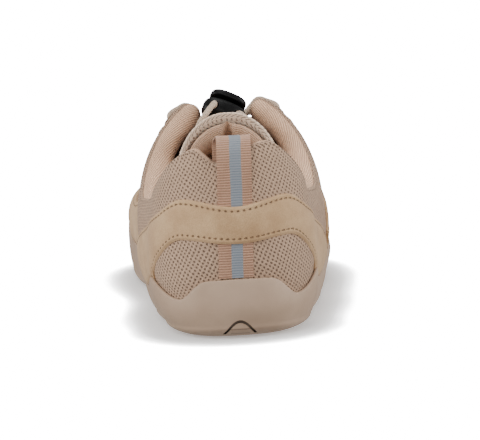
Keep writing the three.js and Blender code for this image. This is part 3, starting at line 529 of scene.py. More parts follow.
class Finish:
    def __init__(self, name, colour, roughness, **constants):
        self.material = bpy.data.materials.new(name)
        self.material.use_nodes = True
        self.nodes = self.material.node_tree.nodes
        self.shader = self.nodes["Principled BSDF"]
        self.put(self.shader, {"Base Color": colour, "Roughness": roughness, **constants})

    def put(self, node, values):
        for key, value in values.items():
            if isinstance(value, Signal):
                self.material.node_tree.links.new(value.socket, node.inputs[key])
            else:
                node.inputs[key].default_value = value

    def node(self, kind, settings=None, values=None, out=0):
        made = self.nodes.new("ShaderNode" + kind)
        for key, value in (settings or {}).items():
            setattr(made, key, value)
        self.put(made, values or {})
        return Signal(self, made.outputs[out])

    def flat(self, name="UVMap"):
        return self.node("UVMap", {"uv_map": name})

    def solid(self):
        return self.node("TexCoord", out="Object")

    def parted(self, vector):
        x = self.node("SeparateXYZ", values={"Vector": vector}, out="X")
        return x, x.sibling("Y"), x.sibling("Z")

    def noise(self, vector, scale, detail=2.0, roughness=0.5):
        return self.node("TexNoise", values={
            "Vector": vector, "Scale": scale, "Detail": detail, "Roughness": roughness}, out="Fac")

    def fade(self, value, low, high):
        settings = {"interpolation_type": "SMOOTHSTEP", "clamp": True}
        return self.node("MapRange", settings, {"Value": value, "From Min": low, "From Max": high})

    def mixed(self, factor, first, second, kind="MIX"):
        settings = {"data_type": "RGBA", "blend_type": kind}
        return self.node("Mix", settings, {0: factor, 6: first, 7: second}, out=2)

    def holes(self, name, pitch, inset, radius):
        # needle holes in a row beside a seam: x of the layer runs along the seam, y away from it
        along, away, _ = self.parted(self.flat(name))
        along = ((along / pitch).worked("FRACT") - 0.5) * pitch
        away = away - inset
        far = (along * along * 0.7 + away * away).worked("SQRT")
        return 1 - self.fade(far, radius * 0.55, radius * 1.25)

    def paintedShade(self, colour, deep, reach):
        # painted shade: ambient occlusion darkens a soft lining's folds and hollows towards the deep colour, where
        # shade falls
        open_ = self.node("AmbientOcclusion", {"samples": 6}, {"Distance": reach * mm}, out="AO")
        return self.mixed(self.fade(open_, 0.12, 0.86), deep, colour)

    def wear(self, colour=None, roughness=None, height=None, depth=0.2, strength=1.0):
        values = {}
        if colour:
            values["Base Color"] = colour
        if roughness:
            values["Roughness"] = roughness
        if height:
            values["Normal"] = self.node("Bump", values={
                "Height": height, "Strength": strength, "Distance": depth * mm}, out="Normal")
        self.put(self.shader, values)
        return self.material


def tone(red, green, blue):
    parts = [v / 255 for v in (red, green, blue)]
    return tuple(v / 12.92 if v <= 0.04045 else ((v + 0.055) / 1.055) ** 2.4 for v in parts) + (1.0,)


sheenTone = tone(255, 232, 205)


def spacerMesh(name, yarn, hollow, shadow, cell, seams=()):
    finish = Finish(name, yarn, 0.9, **{"Sheen Weight": 0.12, "Sheen Roughness": 0.6, "Sheen Tint": sheenTone})
    cloth = finish.flat()
    across, along, _ = finish.parted(cloth)
    wander = finish.noise(cloth, 0.07) - 0.5
    across = across + wander * 2.6 + along * 0.3
    along = along + finish.noise(cloth, 0.045) * 2.4 - across * 0.12

    def nearest(shift):
        x = ((across / cell + shift).worked("FRACT") - 0.5) * cell
        y = ((along / cell + shift).worked("FRACT") - 0.5) * cell
        return (x * x + y * y).worked("SQRT")

    far = nearest(0).worked("MINIMUM", nearest(0.5))
    rough = finish.noise(cloth, 0.9, 2.0)
    size = 0.24 + rough * 0.24
    hole = 1 - finish.fade(far, size * 0.6, size * 1.6)
    ring = finish.fade(far, 0.3, 0.8)
    twist = ((across + along) * 9.0).worked("SINE") * ((across - along) * 9.0).worked("SINE")
    patches = finish.noise(finish.solid(), 26.0, 3.0)
    base = finish.mixed(patches, yarn, hollow)
    base = finish.mixed(finish.fade(rough, 0.35, 0.75) * 0.25, base, shadow)
    # painted shade: the mesh holes are coloured towards the shadow tone
    colour = finish.mixed(hole * 0.8, base, shadow)
    height = ring * 0.35 + twist * 0.06 - hole
    for seam in seams:
        # painted shade: the needle holes are coloured towards the shadow tone too
        needle = finish.holes(*seam)
        colour = finish.mixed(needle * 0.8, colour, shadow)
        height = height - needle * 0.8
    return finish.wear(colour, height=height, depth=0.32)


def suede(name, light, dark, shadow, seams=()):
    finish = Finish(name, light, 0.93, **{"Sheen Weight": 0.3, "Sheen Roughness": 0.55, "Sheen Tint": sheenTone})
    place = finish.solid()
    nap = finish.noise(place, 2600.0, 3.0, 0.65)
    brushed = finish.noise(place, 120.0, 3.0, 0.6)
    cloud = finish.noise(place, 34.0, 2.0)
    shade = finish.fade(brushed * 0.55 + cloud * 0.45, 0.34, 0.68)
    colour = finish.mixed(shade, dark, light)
    colour = finish.mixed(finish.fade(nap, 0.42, 0.62) * 0.2, colour, shadow)
    height = nap * 0.5 + brushed * 0.3
    for seam in seams:
        # painted shade: the needle holes are coloured towards the shadow tone
        needle = finish.holes(*seam)
        colour = finish.mixed(needle * 0.85, colour, shadow)
        height = height - needle * 2.2
    return finish.wear(colour, finish.fade(brushed, 0.2, 0.9) * 0.12 + 0.84, height, 0.16)


def ribbedKnit(name, light, dark, pitch, deep, slant=0.35, puff=0.5):
    finish = Finish(name, light, 0.85, **{"Sheen Weight": 0.2, "Sheen Roughness": 0.45, "Sheen Tint": sheenTone})
    cloth = finish.flat()
    across, along, _ = finish.parted(cloth)
    wander = finish.noise(cloth, 0.09) * 1.6
    rib = ((across * slant + along + wander) * (2 * math.pi / pitch)).worked("SINE")
    loops = ((across - along * slant) * (2 * math.pi / (pitch * 0.75))).worked("SINE")
    shade = finish.fade(rib * 0.5 + loops * 0.14 + 0.5, 0.05, 0.8)
    cloud = finish.noise(finish.solid(), 55.0, 2.0)
    # painted shade: the valleys of the ribs and loops are coloured towards the dark tone
    colour = finish.mixed(shade, dark, light)
    colour = finish.mixed(finish.fade(cloud, 0.35, 0.75) * 0.22, colour, dark)
    # the deep colour is painted shade, laid into folds and hollows by ambient occlusion
    colour = finish.paintedShade(colour, deep, 45)
    return finish.wear(colour, height=rib * 0.5 + loops * 0.16, depth=0.6 * puff)


def mouldedRubber(name, light, dark, line):
    finish = Finish(name, light, 0.62)
    place = finish.solid()
    x, y, z = finish.parted(place)
    cloud = finish.noise(place, 38.0, 3.0)
    grain = finish.noise(place, 1500.0, 2.0)
    scuff = finish.noise(place, 210.0, 4.0, 0.7)
    # darker in patches within 12 mm of the ground
    nearGround = 1 - finish.fade(z, 0.0, 0.012)
    colour = finish.mixed(finish.fade(cloud, 0.3, 0.7), dark, light)
    colour = finish.mixed(nearGround * finish.fade(scuff, 0.4, 0.7) * 0.4, colour, dark)
    # the plug under the heel arch carries two fine moulded lines, coloured darker as painted shade in their grooves
    inArch = (1 - finish.fade((x + 0.005).worked("ABSOLUTE"), 0.0036, 0.0042)) * (1 - finish.fade(y, -0.12, -0.118))
    wave = (((z - 0.0011) / 0.0021).worked("FRACT") - 0.5).worked("ABSOLUTE")
    lines = inArch * (1 - finish.fade(wave, 0.06, 0.13)) * (1 - finish.fade(z, 0.005, 0.0053))
    colour = finish.mixed(lines * 0.7, colour, line)
    return finish.wear(colour, finish.fade(scuff, 0.2, 0.8) * 0.16 + 0.52, grain * 0.25 + scuff * 0.2 - lines, 0.09)


def plainBlend(name, light, dark, roughness, scale, bump, **constants):
    finish = Finish(name, light, roughness, **constants)
    place = finish.solid()
    grain = finish.noise(place, scale, 3.0)
    cloud = finish.noise(place, scale / 12, 2.0)
    colour = finish.mixed(finish.fade(cloud, 0.3, 0.7), dark, light)
    return finish.wear(colour, finish.fade(cloud, 0.2, 0.8) * 0.1 + (roughness - 0.05), grain, bump)


def webbing(name, light, dark, stripe, pitch):
    finish = Finish(name, light, 0.75, **{"Sheen Weight": 0.2})
    cloth = finish.flat()
    across, along, _ = finish.parted(cloth)
    middle = finish.noise(finish.node("CombineXYZ", values={"X": along}), 0.05) * 1.4 - 0.1
    rib = ((along + finish.noise(cloth, 0.2) * 0.35) * (2 * math.pi / pitch)).worked("COSINE")
    yarn = (across * (2 * math.pi / 0.62)).worked("SINE")
    inStripe = 1 - finish.fade((across - middle).worked("ABSOLUTE"), 2.15, 2.5)
    cloud = finish.noise(finish.solid(), 160.0, 3.0)
    # painted shade: the rib valleys are coloured darker than the crests, on the stripe too
    cloth = finish.mixed(finish.fade(rib, -0.9, 0.5), dark, light)
    cloth = finish.mixed(finish.fade(cloud, 0.4, 0.75) * 0.25, cloth, dark)
    shine = finish.mixed(finish.fade(rib, -1.0, 0.0) * 0.12 + 0.88, dark, stripe)
    colour = finish.mixed(inStripe, cloth, shine)
    height = (rib * 0.5 + yarn * 0.12) * (1 - inStripe * 0.8) + inStripe * 0.2
    return finish.wear(colour, 0.78 - inStripe * 0.3, height, 0.16)


def braid(name, light, dark, lay, strands):
    finish = Finish(name, light, 0.7, **{"Sheen Weight": 0.25})
    around, along, _ = finish.parted(finish.flat())
    left = ((around * strands + along / lay) * (2 * math.pi)).worked("SINE")
    right = ((around * strands - along / lay) * (2 * math.pi)).worked("SINE")
    weave = left.worked("MAXIMUM", right)
    # painted shade: the valleys between strands are coloured darker
    colour = finish.mixed(finish.fade(weave, -0.2, 0.7), dark, light)
    return finish.wear(colour, height=weave, depth=0.12)


def knitCover(name, light, dark, shadow):
    finish = Finish(name, light, 0.88, **{"Sheen Weight": 0.2})
    cloth = finish.flat()
    across, along, _ = finish.parted(cloth)
    across = across + finish.noise(cloth, 0.2) * 1.3
    row = (along / 2.1).worked("FLOOR") * 0.5
    x = ((across / 2.3 + row).worked("FRACT") - 0.5) * 2.3
    y = ((along / 2.1).worked("FRACT") - 0.5) * 2.1
    slant = (x + y * 0.7).worked("ABSOLUTE")
    dash = (1 - finish.fade(slant, 0.18, 0.6)) * (1 - finish.fade(y.worked("ABSOLUTE"), 0.45, 0.95))
    colour = finish.mixed(finish.noise(cloth, 0.4), light, dark)
    colour = finish.mixed(dash * 0.7, colour, shadow)
    loops = ((across - along) * 5.0).worked("SINE")
    return finish.wear(colour, height=loops * 0.2 - dash, depth=0.35)


# The third colour of each mesh and suede is painted shade for its holes
yarnTone, yarnDeep, yarnHoleShade = tone(189, 158, 132), tone(174, 142, 117), tone(70, 46, 34)
suedeTone, suedeDeep, suedeHoleShade = tone(195, 161, 120), tone(173, 137, 98), tone(92, 62, 36)
quarterFinish = spacerMesh("quarter cloth", yarnTone, yarnDeep, yarnHoleShade, 2.3, [("Rim", 2.1, 1.7, 0.34)])
vampFinish = spacerMesh("vamp cloth", yarnTone, yarnDeep, yarnHoleShade, 2.3)
bandFinish = suede("band suede", suedeTone, suedeDeep, suedeHoleShade, [("Top", 2.45, 1.9, 0.46), ("Low", 2.45, 1.9, 0.46)])
guardFinish = suede("guard suede", suedeTone, suedeDeep, suedeHoleShade, [("Top", 2.45, 1.9, 0.46)])
stayFinish = suede("stay suede", suedeTone, suedeDeep, suedeHoleShade, [("Top", 2.45, 1.7, 0.4), ("Low", 2.45, 1.9, 0.46)])
# Each ribbed knit's fourth colour is painted shade for its folds and hollows
liningFinish = ribbedKnit("collar knit", tone(252, 210, 174), tone(197, 153, 121), 0.95, tone(84, 52, 36), slant=0.3)
padFinish = ribbedKnit("tongue knit", tone(244, 206, 176), tone(200, 158, 126), 0.95, tone(92, 56, 38), slant=0.0)
rubberFinish = mouldedRubber("sole rubber", tone(178, 151, 128), tone(161, 135, 112), tone(112, 88, 70))
# The walls of the tread and arch grooves are coloured darker: painted shade in the recesses
grooveShadeFinish = plainBlend("groove shade rubber", tone(122, 104, 90), tone(96, 80, 68), 0.8, 900.0, 0.05)
tapeFinish = webbing("pull tape", tone(192, 150, 123), tone(140, 103, 80), tone(120, 127, 136), 1.05)
cordFinish = braid("elastic lace", tone(214, 190, 166), tone(170, 142, 118), 1.9, 1.47)
coverFinish = knitCover("tongue cover", tone(255, 228, 202), tone(242, 212, 184), tone(118, 88, 68))
footbedFinish = ribbedKnit("footbed cloth", tone(208, 180, 156), tone(172, 142, 118), 1.3, tone(110, 82, 64), slant=0.0, puff=0.4)
threadFinish = plainBlend("thread", tone(118, 88, 60), tone(96, 70, 46), 0.8, 3000.0, 0.05)
lockFinish = plainBlend("lock plastic", tone(8, 8, 9), tone(4, 4, 5), 0.38, 2200.0, 0.03, **{"Specular IOR Level": 0.15})
rimFinish = plainBlend("eyelet rim", tone(150, 128, 104), tone(132, 110, 88), 0.5, 1500.0, 0.03)
print("finishes mixed")


def dressed(piece, material, body, slotName, *nodes):
    piece.data.materials.clear()
    piece.data.materials.append(material)
    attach(piece, body)
    if nodes:
        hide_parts(*nodes)
    return piece


def facingOut(piece):
    # turns a closed piece the right way round if it came out inside out
    mesh = piece.data
    mesh.calc_loop_triangles()
    places = np.array([v.co for v in mesh.vertices])
    a, b, c = (places[[t.vertices[k] for t in mesh.loop_triangles]] for k in range(3))
    if np.einsum("ij,ij->i", a, np.cross(b, c)).sum() < 0:
        mesh.flip_normals()
    return piece


def around(first, last):
    # station numbers from one to another, going forwards by the outer side
    return np.arange(first, last + 1) % count


def ringFlat(points):
    # running lengths round a ring, 0 at the back of the heel, plus on the outer side
    columns = (np.arange(count) + halfTurn) % count
    lengths = alongOf(points[columns])
    lengths = lengths - lengths[halfTurn]
    flat = np.empty(count)
    flat[columns] = lengths
    return flat


def forward(at):
    return int(np.argmax(run[: halfTurn + 1] >= at))


# The mesh quarters, from the sole up to the rim seam
quarter = {"split": 0.6, "rows": 44, "cloth": 1.2, "rimGap": 0.7, "puff": 0.55, "overRoll": [0.03, 0.06, 0.095, 0.13]}


def rollRing(share, offset):
    # a line along the padded roll of the collar, from its outer side at 0 to its inner side at 1
    outer = offSkin(topline[None, :], 0)[0]
    inner = offSkin(topline[None, :], -wallAt(run, 0))[0]
    upwards = unit(outer - offSkin((topline - 4)[None, :], 0)[0])
    rise = rimRise * math.sin(math.pi * share) ** 0.6
    place = outer * (1 - share) + inner * share + upwards * rise[:, None]
    return place + unit(place - (outer + inner) / 2 + upwards) * offset


def makeQuarter():
    split = forward(quarter["split"])
    columns = around(count - split, count + split)
    shares = np.linspace(0, 1, quarter["rows"]) ** 0.9
    top = topline - quarter["rimGap"]
    lengths = feather + shares[:, None] * (top - feather)
    belowRim = topline - lengths
    foam = smooth(belowRim / 6) * (1 - smooth((belowRim - 14) / 16)) * (1 - smooth((run - 0.42) / 0.08))
    overEdge = lengths - overSole
    swell = smooth(overEdge / 5) * (1 - smooth((overEdge - 16) / 14)) * (1 - smooth((run - 0.16) / 0.1))
    skin = offSkin(lengths, quarter["puff"] * (foam + swell))
    points = np.concatenate([skin, [rollRing(share, 0.3) for share in quarter["overRoll"]]])
    climbed = np.cumsum(np.linalg.norm(np.diff(points[quarter["rows"] - 1:], axis=0), axis=2), axis=0)
    lengths = np.concatenate([lengths, lengths[-1] + climbed])
    flat = np.stack([np.array([ringFlat(ring) for ring in points]), lengths - feather], axis=-1)
    rim = np.stack([np.broadcast_to(ringFlat(skin[-1]), lengths.shape), lengths[-1] - lengths], axis=-1)
    piece = laid("quarter_mesh", points[:, columns], {"UVMap": flat[:, columns], "Rim": rim[:, columns]})
    finished(piece, quarter["cloth"], 0.35)
    dressed(piece, quarterFinish, "shoe", "mesh", "upper")


makeQuarter()

# The vamp, one piece of the same mesh over the toes, tucked under the quarters
vamp = {"rows": 44, "cloth": 1.2, "tuck": 0.35, "overlap": 3}


def makeVamp():
    split = forward(quarter["split"]) - vamp["overlap"]
    columns = around(split, count - split)
    shares = np.linspace(0, 1, vamp["rows"]) ** 0.9
    lengths = feather + shares[:, None] * (topline - quarter["rimGap"] - feather)
    points = offSkin(lengths, -vamp["tuck"] * smooth((0.64 - run) / 0.04))
    piece = laid("vamp_mesh", points[:, columns], {"UVMap": points[:, columns, :2]})
    finished(piece, vamp["cloth"], 0.35)
    dressed(piece, vampFinish, "shoe", "mesh", "upper")


makeVamp()
print("mesh upper lasted")

# The padded lining: under the quarters, over the rim and down inside to the footbed
lining = {"behind": 1.35, "rim": 14, "inside": 30, "ridge": 0.35, "fill": 0.6}


def makeLining():
    hidden = np.array([0, 0.3, 0.6, 0.85])
    lengths = [feather + share * (topline - 2 - feather) for share in hidden]
    offsets = [np.full(count, -lining["behind"])] * len(hidden)
    lengths += [topline - 2, topline - 0.9, topline - 0.2]
    offsets += [np.full(count, -lining["behind"]), np.full(count, -0.9), np.full(count, -0.15)]
    hiddenPoints = offSkin(np.array(lengths), np.array(offsets))
    outerTop = offSkin(topline[None, :], 0)[0]
    innerTop = offSkin(topline[None, :], -wallAt(run, 0))[0]
    upwards = unit(outerTop - offSkin((topline - 4)[None, :], 0)[0])
    rim = []
    for share in np.linspace(0.04, 0.97, lining["rim"]):
        rise = rimRise * np.sin(math.pi * share) ** 0.6
        rim.append(outerTop * (1 - share) + innerTop * share + upwards * rise[:, None])
    shares = 1 - np.linspace(0, 1, lining["inside"]) ** 1.15
    inner = feather + shares[:, None] * (topline - feather)
    ripple = np.sin(ringFlat(innerTop) / 5.3) * np.sin(ringFlat(innerTop) / 17.1 + 1)
    deep = smooth((topline - inner) / 6) * (1 - smooth((topline - inner - 22) / 8))
    inside = offSkin(inner, -wallAt(run, topline - inner) - lining["ridge"] * ripple * deep)
    points = np.concatenate([hiddenPoints, np.array(rim), inside, hiddenPoints[:1]])
    down = np.moveaxis(alongOf(np.moveaxis(points, 0, 1)), 1, 0)
    down = down - down[len(hiddenPoints)]
    flat = np.stack([np.broadcast_to(ringFlat(outerTop), down.shape), down], axis=-1)
    columns = (np.arange(count + 1) + halfTurn) % count
    flat = flat[:, columns]
    flat[:, -1, 0] = 2 * flat[:, -2, 0] - flat[:, -3, 0]
    piece = facingOut(laid("collar_lining", points[:, columns], {"UVMap": flat}, close=True))
    dressed(piece, liningFinish, "shoe", "lining", "upper")


makeLining()
print("collar padded")

# Suede pieces laid on the mesh, with soft edges and a sewn trough inside each edge
overlay = {"rows": 26, "lift": 1.55, "edge": 0.75, "hide": 1.25, "seam": 1.9, "trough": 0.22, "puff": 0.3, "bevel": 0.4,
           "tuck": 2.2}


def overlayPiece(name, columns, low, high, lifted=0.0):
    shares = 0.5 - 0.5 * np.cos(np.linspace(0, math.pi, overlay["rows"]))
    # where the suede comes down to the rubber it goes on behind the lip
    tucked = smooth(1 - (low - soleEdge) / 2.5)
    low = low - overlay["tuck"] * tucked
    lengths = low + shares[:, None] * (high - low)
    fromTop, fromLow = high - lengths, lengths - low
    edge = np.minimum(fromTop, fromLow)
    lift = overlay["edge"] + (overlay["lift"] - overlay["edge"]) * smooth(edge / 1.1)
    lift = lift - overlay["trough"] * np.exp(-(((edge - overlay["seam"]) / 0.75) ** 2))
    lift = lift + overlay["puff"] * smooth((edge - 2.4) / 4)
    behind = tucked * (1 - smooth((lengths - soleEdge + 0.1) / 1.5))
    points = offSkin(lengths, (lift + lifted) * (1 - behind) + 0.12 * behind)[:, columns]
    topAlong, lowAlong = alongOf(points[-1]), alongOf(points[0])
    top = np.stack(np.broadcast_arrays(topAlong[None, :], fromTop[:, columns]), axis=-1)
    under = np.stack(np.broadcast_arrays(lowAlong[None, :], fromLow[:, columns]), axis=-1)
    piece = laid(name, points, {"Top": top, "Low": under})
    return finished(piece, overlay["hide"], overlay["bevel"])


band = {"end": 0.41, "lift": 1.2}


def bandEdges():
    low = atHeight(shoe["heel"] * readTable(bandTable, "low", run))
    high = atHeight(shoe["heel"] * readTable(bandTable, "high", run))
    return np.maximum(low, soleEdge + 0.1), np.maximum(high, overSole + 2)


def makeBand():
    end = forward(band["end"])
    low, high = bandEdges()
    overTape = band["lift"] * np.clip((0.056 - run) / 0.026, 0, 1)
    lifted = smooth(overTape / band["lift"]) * band["lift"]
    piece = overlayPiece("heel_band_suede", around(count - end, count + end), low, high, lifted)
    dressed(piece, bandFinish, "shoe", "suede", "heel_band")


makeBand()

guard = {"start": 0.53}


def makeGuard():
    start = forward(guard["start"])
    reach = feather + readTable(guardTable, "reach", run) * (topline - feather)
    piece = overlayPiece("toe_guard_suede", around(start, count - start), soleEdge + 0.1, np.maximum(reach, overSole + 4))
    dressed(piece, guardFinish, "shoe", "suede", "toe_guard")


makeGuard()

stay = {"start": 0.5, "wide": 0.2, "narrow": 0.15, "drop": 7}


def makeStay():
    start = forward(stay["start"])
    width = lastBall * (stay["wide"] - (stay["wide"] - stay["narrow"]) * smooth((run - 0.6) / 0.1))
    high = topline - 0.022 * lastBall - stay["drop"] * (1 - smooth((run - stay["start"]) / 0.05))
    piece = overlayPiece("eyestay_suede", around(start, count - start), topline - width, high)
    dressed(piece, stayFinish, "shoe", "suede", "eyestay")


makeStay()
print("suede laid on")

# The pull loop: up the back under the band, off the surface, over the collar and down inside
loop = {"width": 14, "thick": 1.15, "rib": 1.05, "ribHeight": 0.1, "columns": 21, "lean": 0.036, "aside": 1.2}


def makeLoop():
    heel = shoe["heel"]
    top = 1.125 * heel

    def inside(z):
        return -wallAt(0.0, heel - 0.42 * padAt(0.0) - z) - shoe["gap"] - 0.6

    path = [
        (edgeHeight[0] + 3 * shoe["gap"], 1.1), (0.5 * heel, 1.1), (0.64 * heel, 1.1), (0.78 * heel, 1.2),
        (0.88 * heel, 2.4), (0.98 * heel, 3.6), (top - 4.5, 3.6), (top - 1.1, 1.9), (top, -1.6), (top - 1.4, -5.2),
        (top - 4.5, inside(heel)), (0.96 * heel, inside(heel) - 0.2), (0.88 * heel, inside(0.88 * heel)),
        (0.8 * heel, inside(0.8 * heel)),
    ]
    middle = lastBall * -0.055

    def skinY(x, z):
        x, z = np.broadcast_arrays(x, z)
        start = np.stack([middle + x, np.full_like(z, heelCentre), z], axis=-1)
        return leaveLast(start, np.broadcast_to([0.0, -1.0, 0.0], start.shape))[..., 1]

    controls = np.array([(0, float(skinY(0.0, z)) - off, z) for z, off in path])
    line = curveThrough(controls, loop["rib"] / 5)
    lengths = alongOf(line)
    tangents = unit(np.gradient(line, axis=0))
    outwards = np.stack([np.zeros(len(line)), -tangents[:, 2], tangents[:, 1]], axis=1)
    x = np.linspace(-0.5, 0.5, loop["columns"]) * loop["width"]
    z = np.minimum(line[:, 2], heel)
    sag = skinY(x[None, :], z[:, None]) - skinY(0.0, z)[:, None]
    passed = int(np.argmax(line[:, 2]))
    free = smooth((line[:, 2] - 0.78 * heel) / (0.2 * heel)) * (np.arange(len(line)) <= passed + 60)
    sag = sag * (1 - 0.55 * free)[:, None]
    rib = loop["ribHeight"] * np.cos(2 * math.pi * lengths / loop["rib"])
    aside = loop["lean"] * (line[:, 2] - 0.6 * heel)
    aside = aside - loop["aside"] * smooth((np.arange(len(line)) - passed) / 30)
    points = line[:, None, :] + np.stack(np.broadcast_arrays(middle + x[None, :] + aside[:, None], sag, 0.0), axis=-1)
    points = points + outwards[:, None, :] * rib[:, None, None]
    flat = np.stack(np.broadcast_arrays(x[None, :], lengths[:, None]), axis=-1)
    piece = laid("pull_tape", points, {"UVMap": flat})
    finished(piece, loop["thick"], 0.25)
    dressed(piece, tapeFinish, "shoe", "webbing", "pull_loop")


makeLoop()
print("pull loop sewn in")


# The tongue: a knitted cover over a ribbed pad, each a pillow closed all round
def pillow(name, middle, half, startAt=0.0):
    columns, rows = 2 * tongue["columns"], tongue["rows"]
    turn = np.linspace(0, 2 * math.pi, columns + 1)
    across = np.cos(turn)
    upper = np.where(turn <= math.pi, -1.0, 1.0)
    along = startAt + (1 - startAt) * (0.5 - 0.5 * np.cos(np.linspace(0, math.pi, rows)))
    along, across = np.meshgrid(along, across, indexing="ij")
    end = np.minimum((along - startAt) / 0.035, (1 - along) / 0.05)
    edge = (1 - np.abs(across)) / 0.1
    fall = np.sqrt(np.clip(1 - (1 - np.clip(np.minimum(end, edge), 0, 1)) ** 2, 0, 1))
    fall[:, 0] = fall[:, -1] = fall[:, columns // 2] = 0
    depth = middle(along, across) + upper * half(along, across) * fall
    points = tonguePlace(along, across, depth)
    gaps = alongOf(points[:, : columns // 2 + 1])
    flatAcross = np.concatenate([gaps, 2 * gaps[:, -1:] - gaps[:, -2::-1]], axis=1)
    flatAlong = np.moveaxis(alongOf(np.moveaxis(points, 0, 1)), 1, 0)
    return facingOut(laid(name, points, {"UVMap": np.stack([flatAcross, flatAlong], axis=-1)}, close=True))


def makeTongue():
    share = tongue["cover"]
    cover = pillow("tongue_cover", lambda a, c: share / 2 - 0.11 * (1 - smooth(a / 0.1)), lambda a, c: share / 2)
    dressed(cover, coverFinish, "shoe", "mesh", "tongue")

    def dent(along, across):
        return np.exp(-((across / 0.038) ** 2)) * (1 - smooth(along / 0.4))

    pad = pillow(
        "tongue_pad", lambda a, c: (1 + share) / 2 - 0.26 * dent(a, c),
        lambda a, c: (1 - share) / 2 * (1 - 0.95 * dent(a, c)), startAt=0.006)
    dressed(pad, padFinish, "shoe", "lining", "tongue")


makeTongue()
print("tongue stuffed")

# The rubber cup: tread, rounded edge, wavy wall with a rolled lip, and the seat of the upper
sole = {"bottom": 10, "wall": 12, "lip": 5, "seat": 5, "inset": 0.046, "tighter": 0.018, "groove": 2, "grooveWidth": 3.4}
tread = [
    (0.115, 0.14), (0.17, 0.16), (0.225, 0.16), (0.28, 0.15), (0.57, 0.24), (0.625, 0.27), (0.68, 0.29),
    (0.735, 0.29), (0.79, 0.27), (0.845, 0.23),
]
arch = {"width": 17.5, "height": 8.3, "groove": 1.25, "foot": 1.9}


def toMiddle(ring, shares):
    # rings drawn in from both sides to the middle line, where they close
    middle = (ring + ring[-np.arange(count) % count]) / 2
    return [middle + share * (ring - middle) for share in shares]


def cupRing(share, offset):
    return offSkin((seat + share * (soleEdge - seat))[None, :], offset)[0]


def cupOutside(inset):
    rows = []
    gap, wall, lip = shoe["gap"], shoe["wall"], shoe["lip"]
    base = cupRing(0, gap + wall - inset)
    flatWay = np.cross(np.roll(base, -1, axis=0) - np.roll(base, 1, axis=0), [0.0, 0.0, 1.0])
    drawn = shoe["length"] * (sole["inset"] - sole["tighter"] * smooth((run - 0.15) / 0.25))
    for share in np.linspace(0, 0.95, sole["bottom"]):
        rise = 1 - math.cos(share * math.pi / 2)
        place = base - unit(flatWay) * (drawn * (1 - math.sin(share * math.pi / 2)))[:, None]
        ground = groundAt(place[:, 1]) + inset
        place[:, 2] = ground + (base[:, 2] - ground) * rise
        rows.append(place)
    rows += [cupRing(k, gap + wall + (lip - wall) * k * k - inset) for k in np.linspace(0, 1, sole["wall"])]
    return rows


def ringed(name, rows):
    columns = (np.arange(count + 1) + halfTurn) % count
    return facingOut(laid(name, np.array(rows)[:, columns], close=True))


def prism(name, outline, along, frm, to):
    # a plate drawn by its outline and pushed out along one axis, for cutting
    bpy.ops.mesh.primitive_circle_add(vertices=len(outline), fill_type="NGON")
    piece = bpy.context.object
    piece.name = name
    for vertex, (x, y) in zip(piece.data.vertices, outline):
        vertex.co = Vector((x, y, frm)) * mm if along == "Z" else Vector((x, frm, y)) * mm
    bpy.ops.object.mode_set(mode="EDIT")
    bpy.ops.mesh.select_all(action="SELECT")
    way = (0, 0, (to - frm) * mm) if along == "Z" else (0, (to - frm) * mm, 0)
    bpy.ops.mesh.extrude_region_move(TRANSFORM_OT_translate={"value": way})
    bpy.ops.mesh.select_all(action="SELECT")
    bpy.ops.mesh.normals_make_consistent(inside=False)
    bpy.ops.object.mode_set(mode="OBJECT")
    return piece


def cut(piece, cutter, operation="DIFFERENCE"):
    bpy.ops.object.select_all(action="DESELECT")
    bpy.context.view_layer.objects.active = piece
    piece.select_set(True)
    knife = piece.modifiers.new("Cut", "BOOLEAN")
    knife.operation = operation
    knife.solver = "EXACT"
    knife.material_mode = "TRANSFER"
    knife.object = cutter
    bpy.ops.object.modifier_apply(modifier=knife.name)
    bpy.data.objects.remove(cutter)


def grooveOutline(at, half):
    share = np.linspace(-1, 1, 25)
    wave = 0.011 * shoe["length"] * np.cos(share * math.pi * 2)
    x = lastBall * -0.04 + share * half * shoe["ball"]
    y = (at - 0.5) * shoe["length"] + wave
    side = sole["grooveWidth"] / 2
    return [*zip(x, y - side), *zip(x[::-1], y[::-1] + side)]


def archOutline(outwards, foot):
    # a bell: round at the top, its legs spreading towards the floor
    share = np.linspace(-1, 1, 41)
    half = arch["width"] / 2 - arch["groove"] + outwards
    height = arch["height"] - arch["groove"] + outwards
    x = lastBall * -0.055 + share * half
    z = np.maximum(height * (0.5 + 0.5 * np.cos(share * math.pi)) ** 0.6, foot)
    kept = (z > foot) | (np.abs(share) < 0.5)
    return [(x[kept][0], foot), *zip(x[kept], z[kept]), (x[kept][-1], foot)]


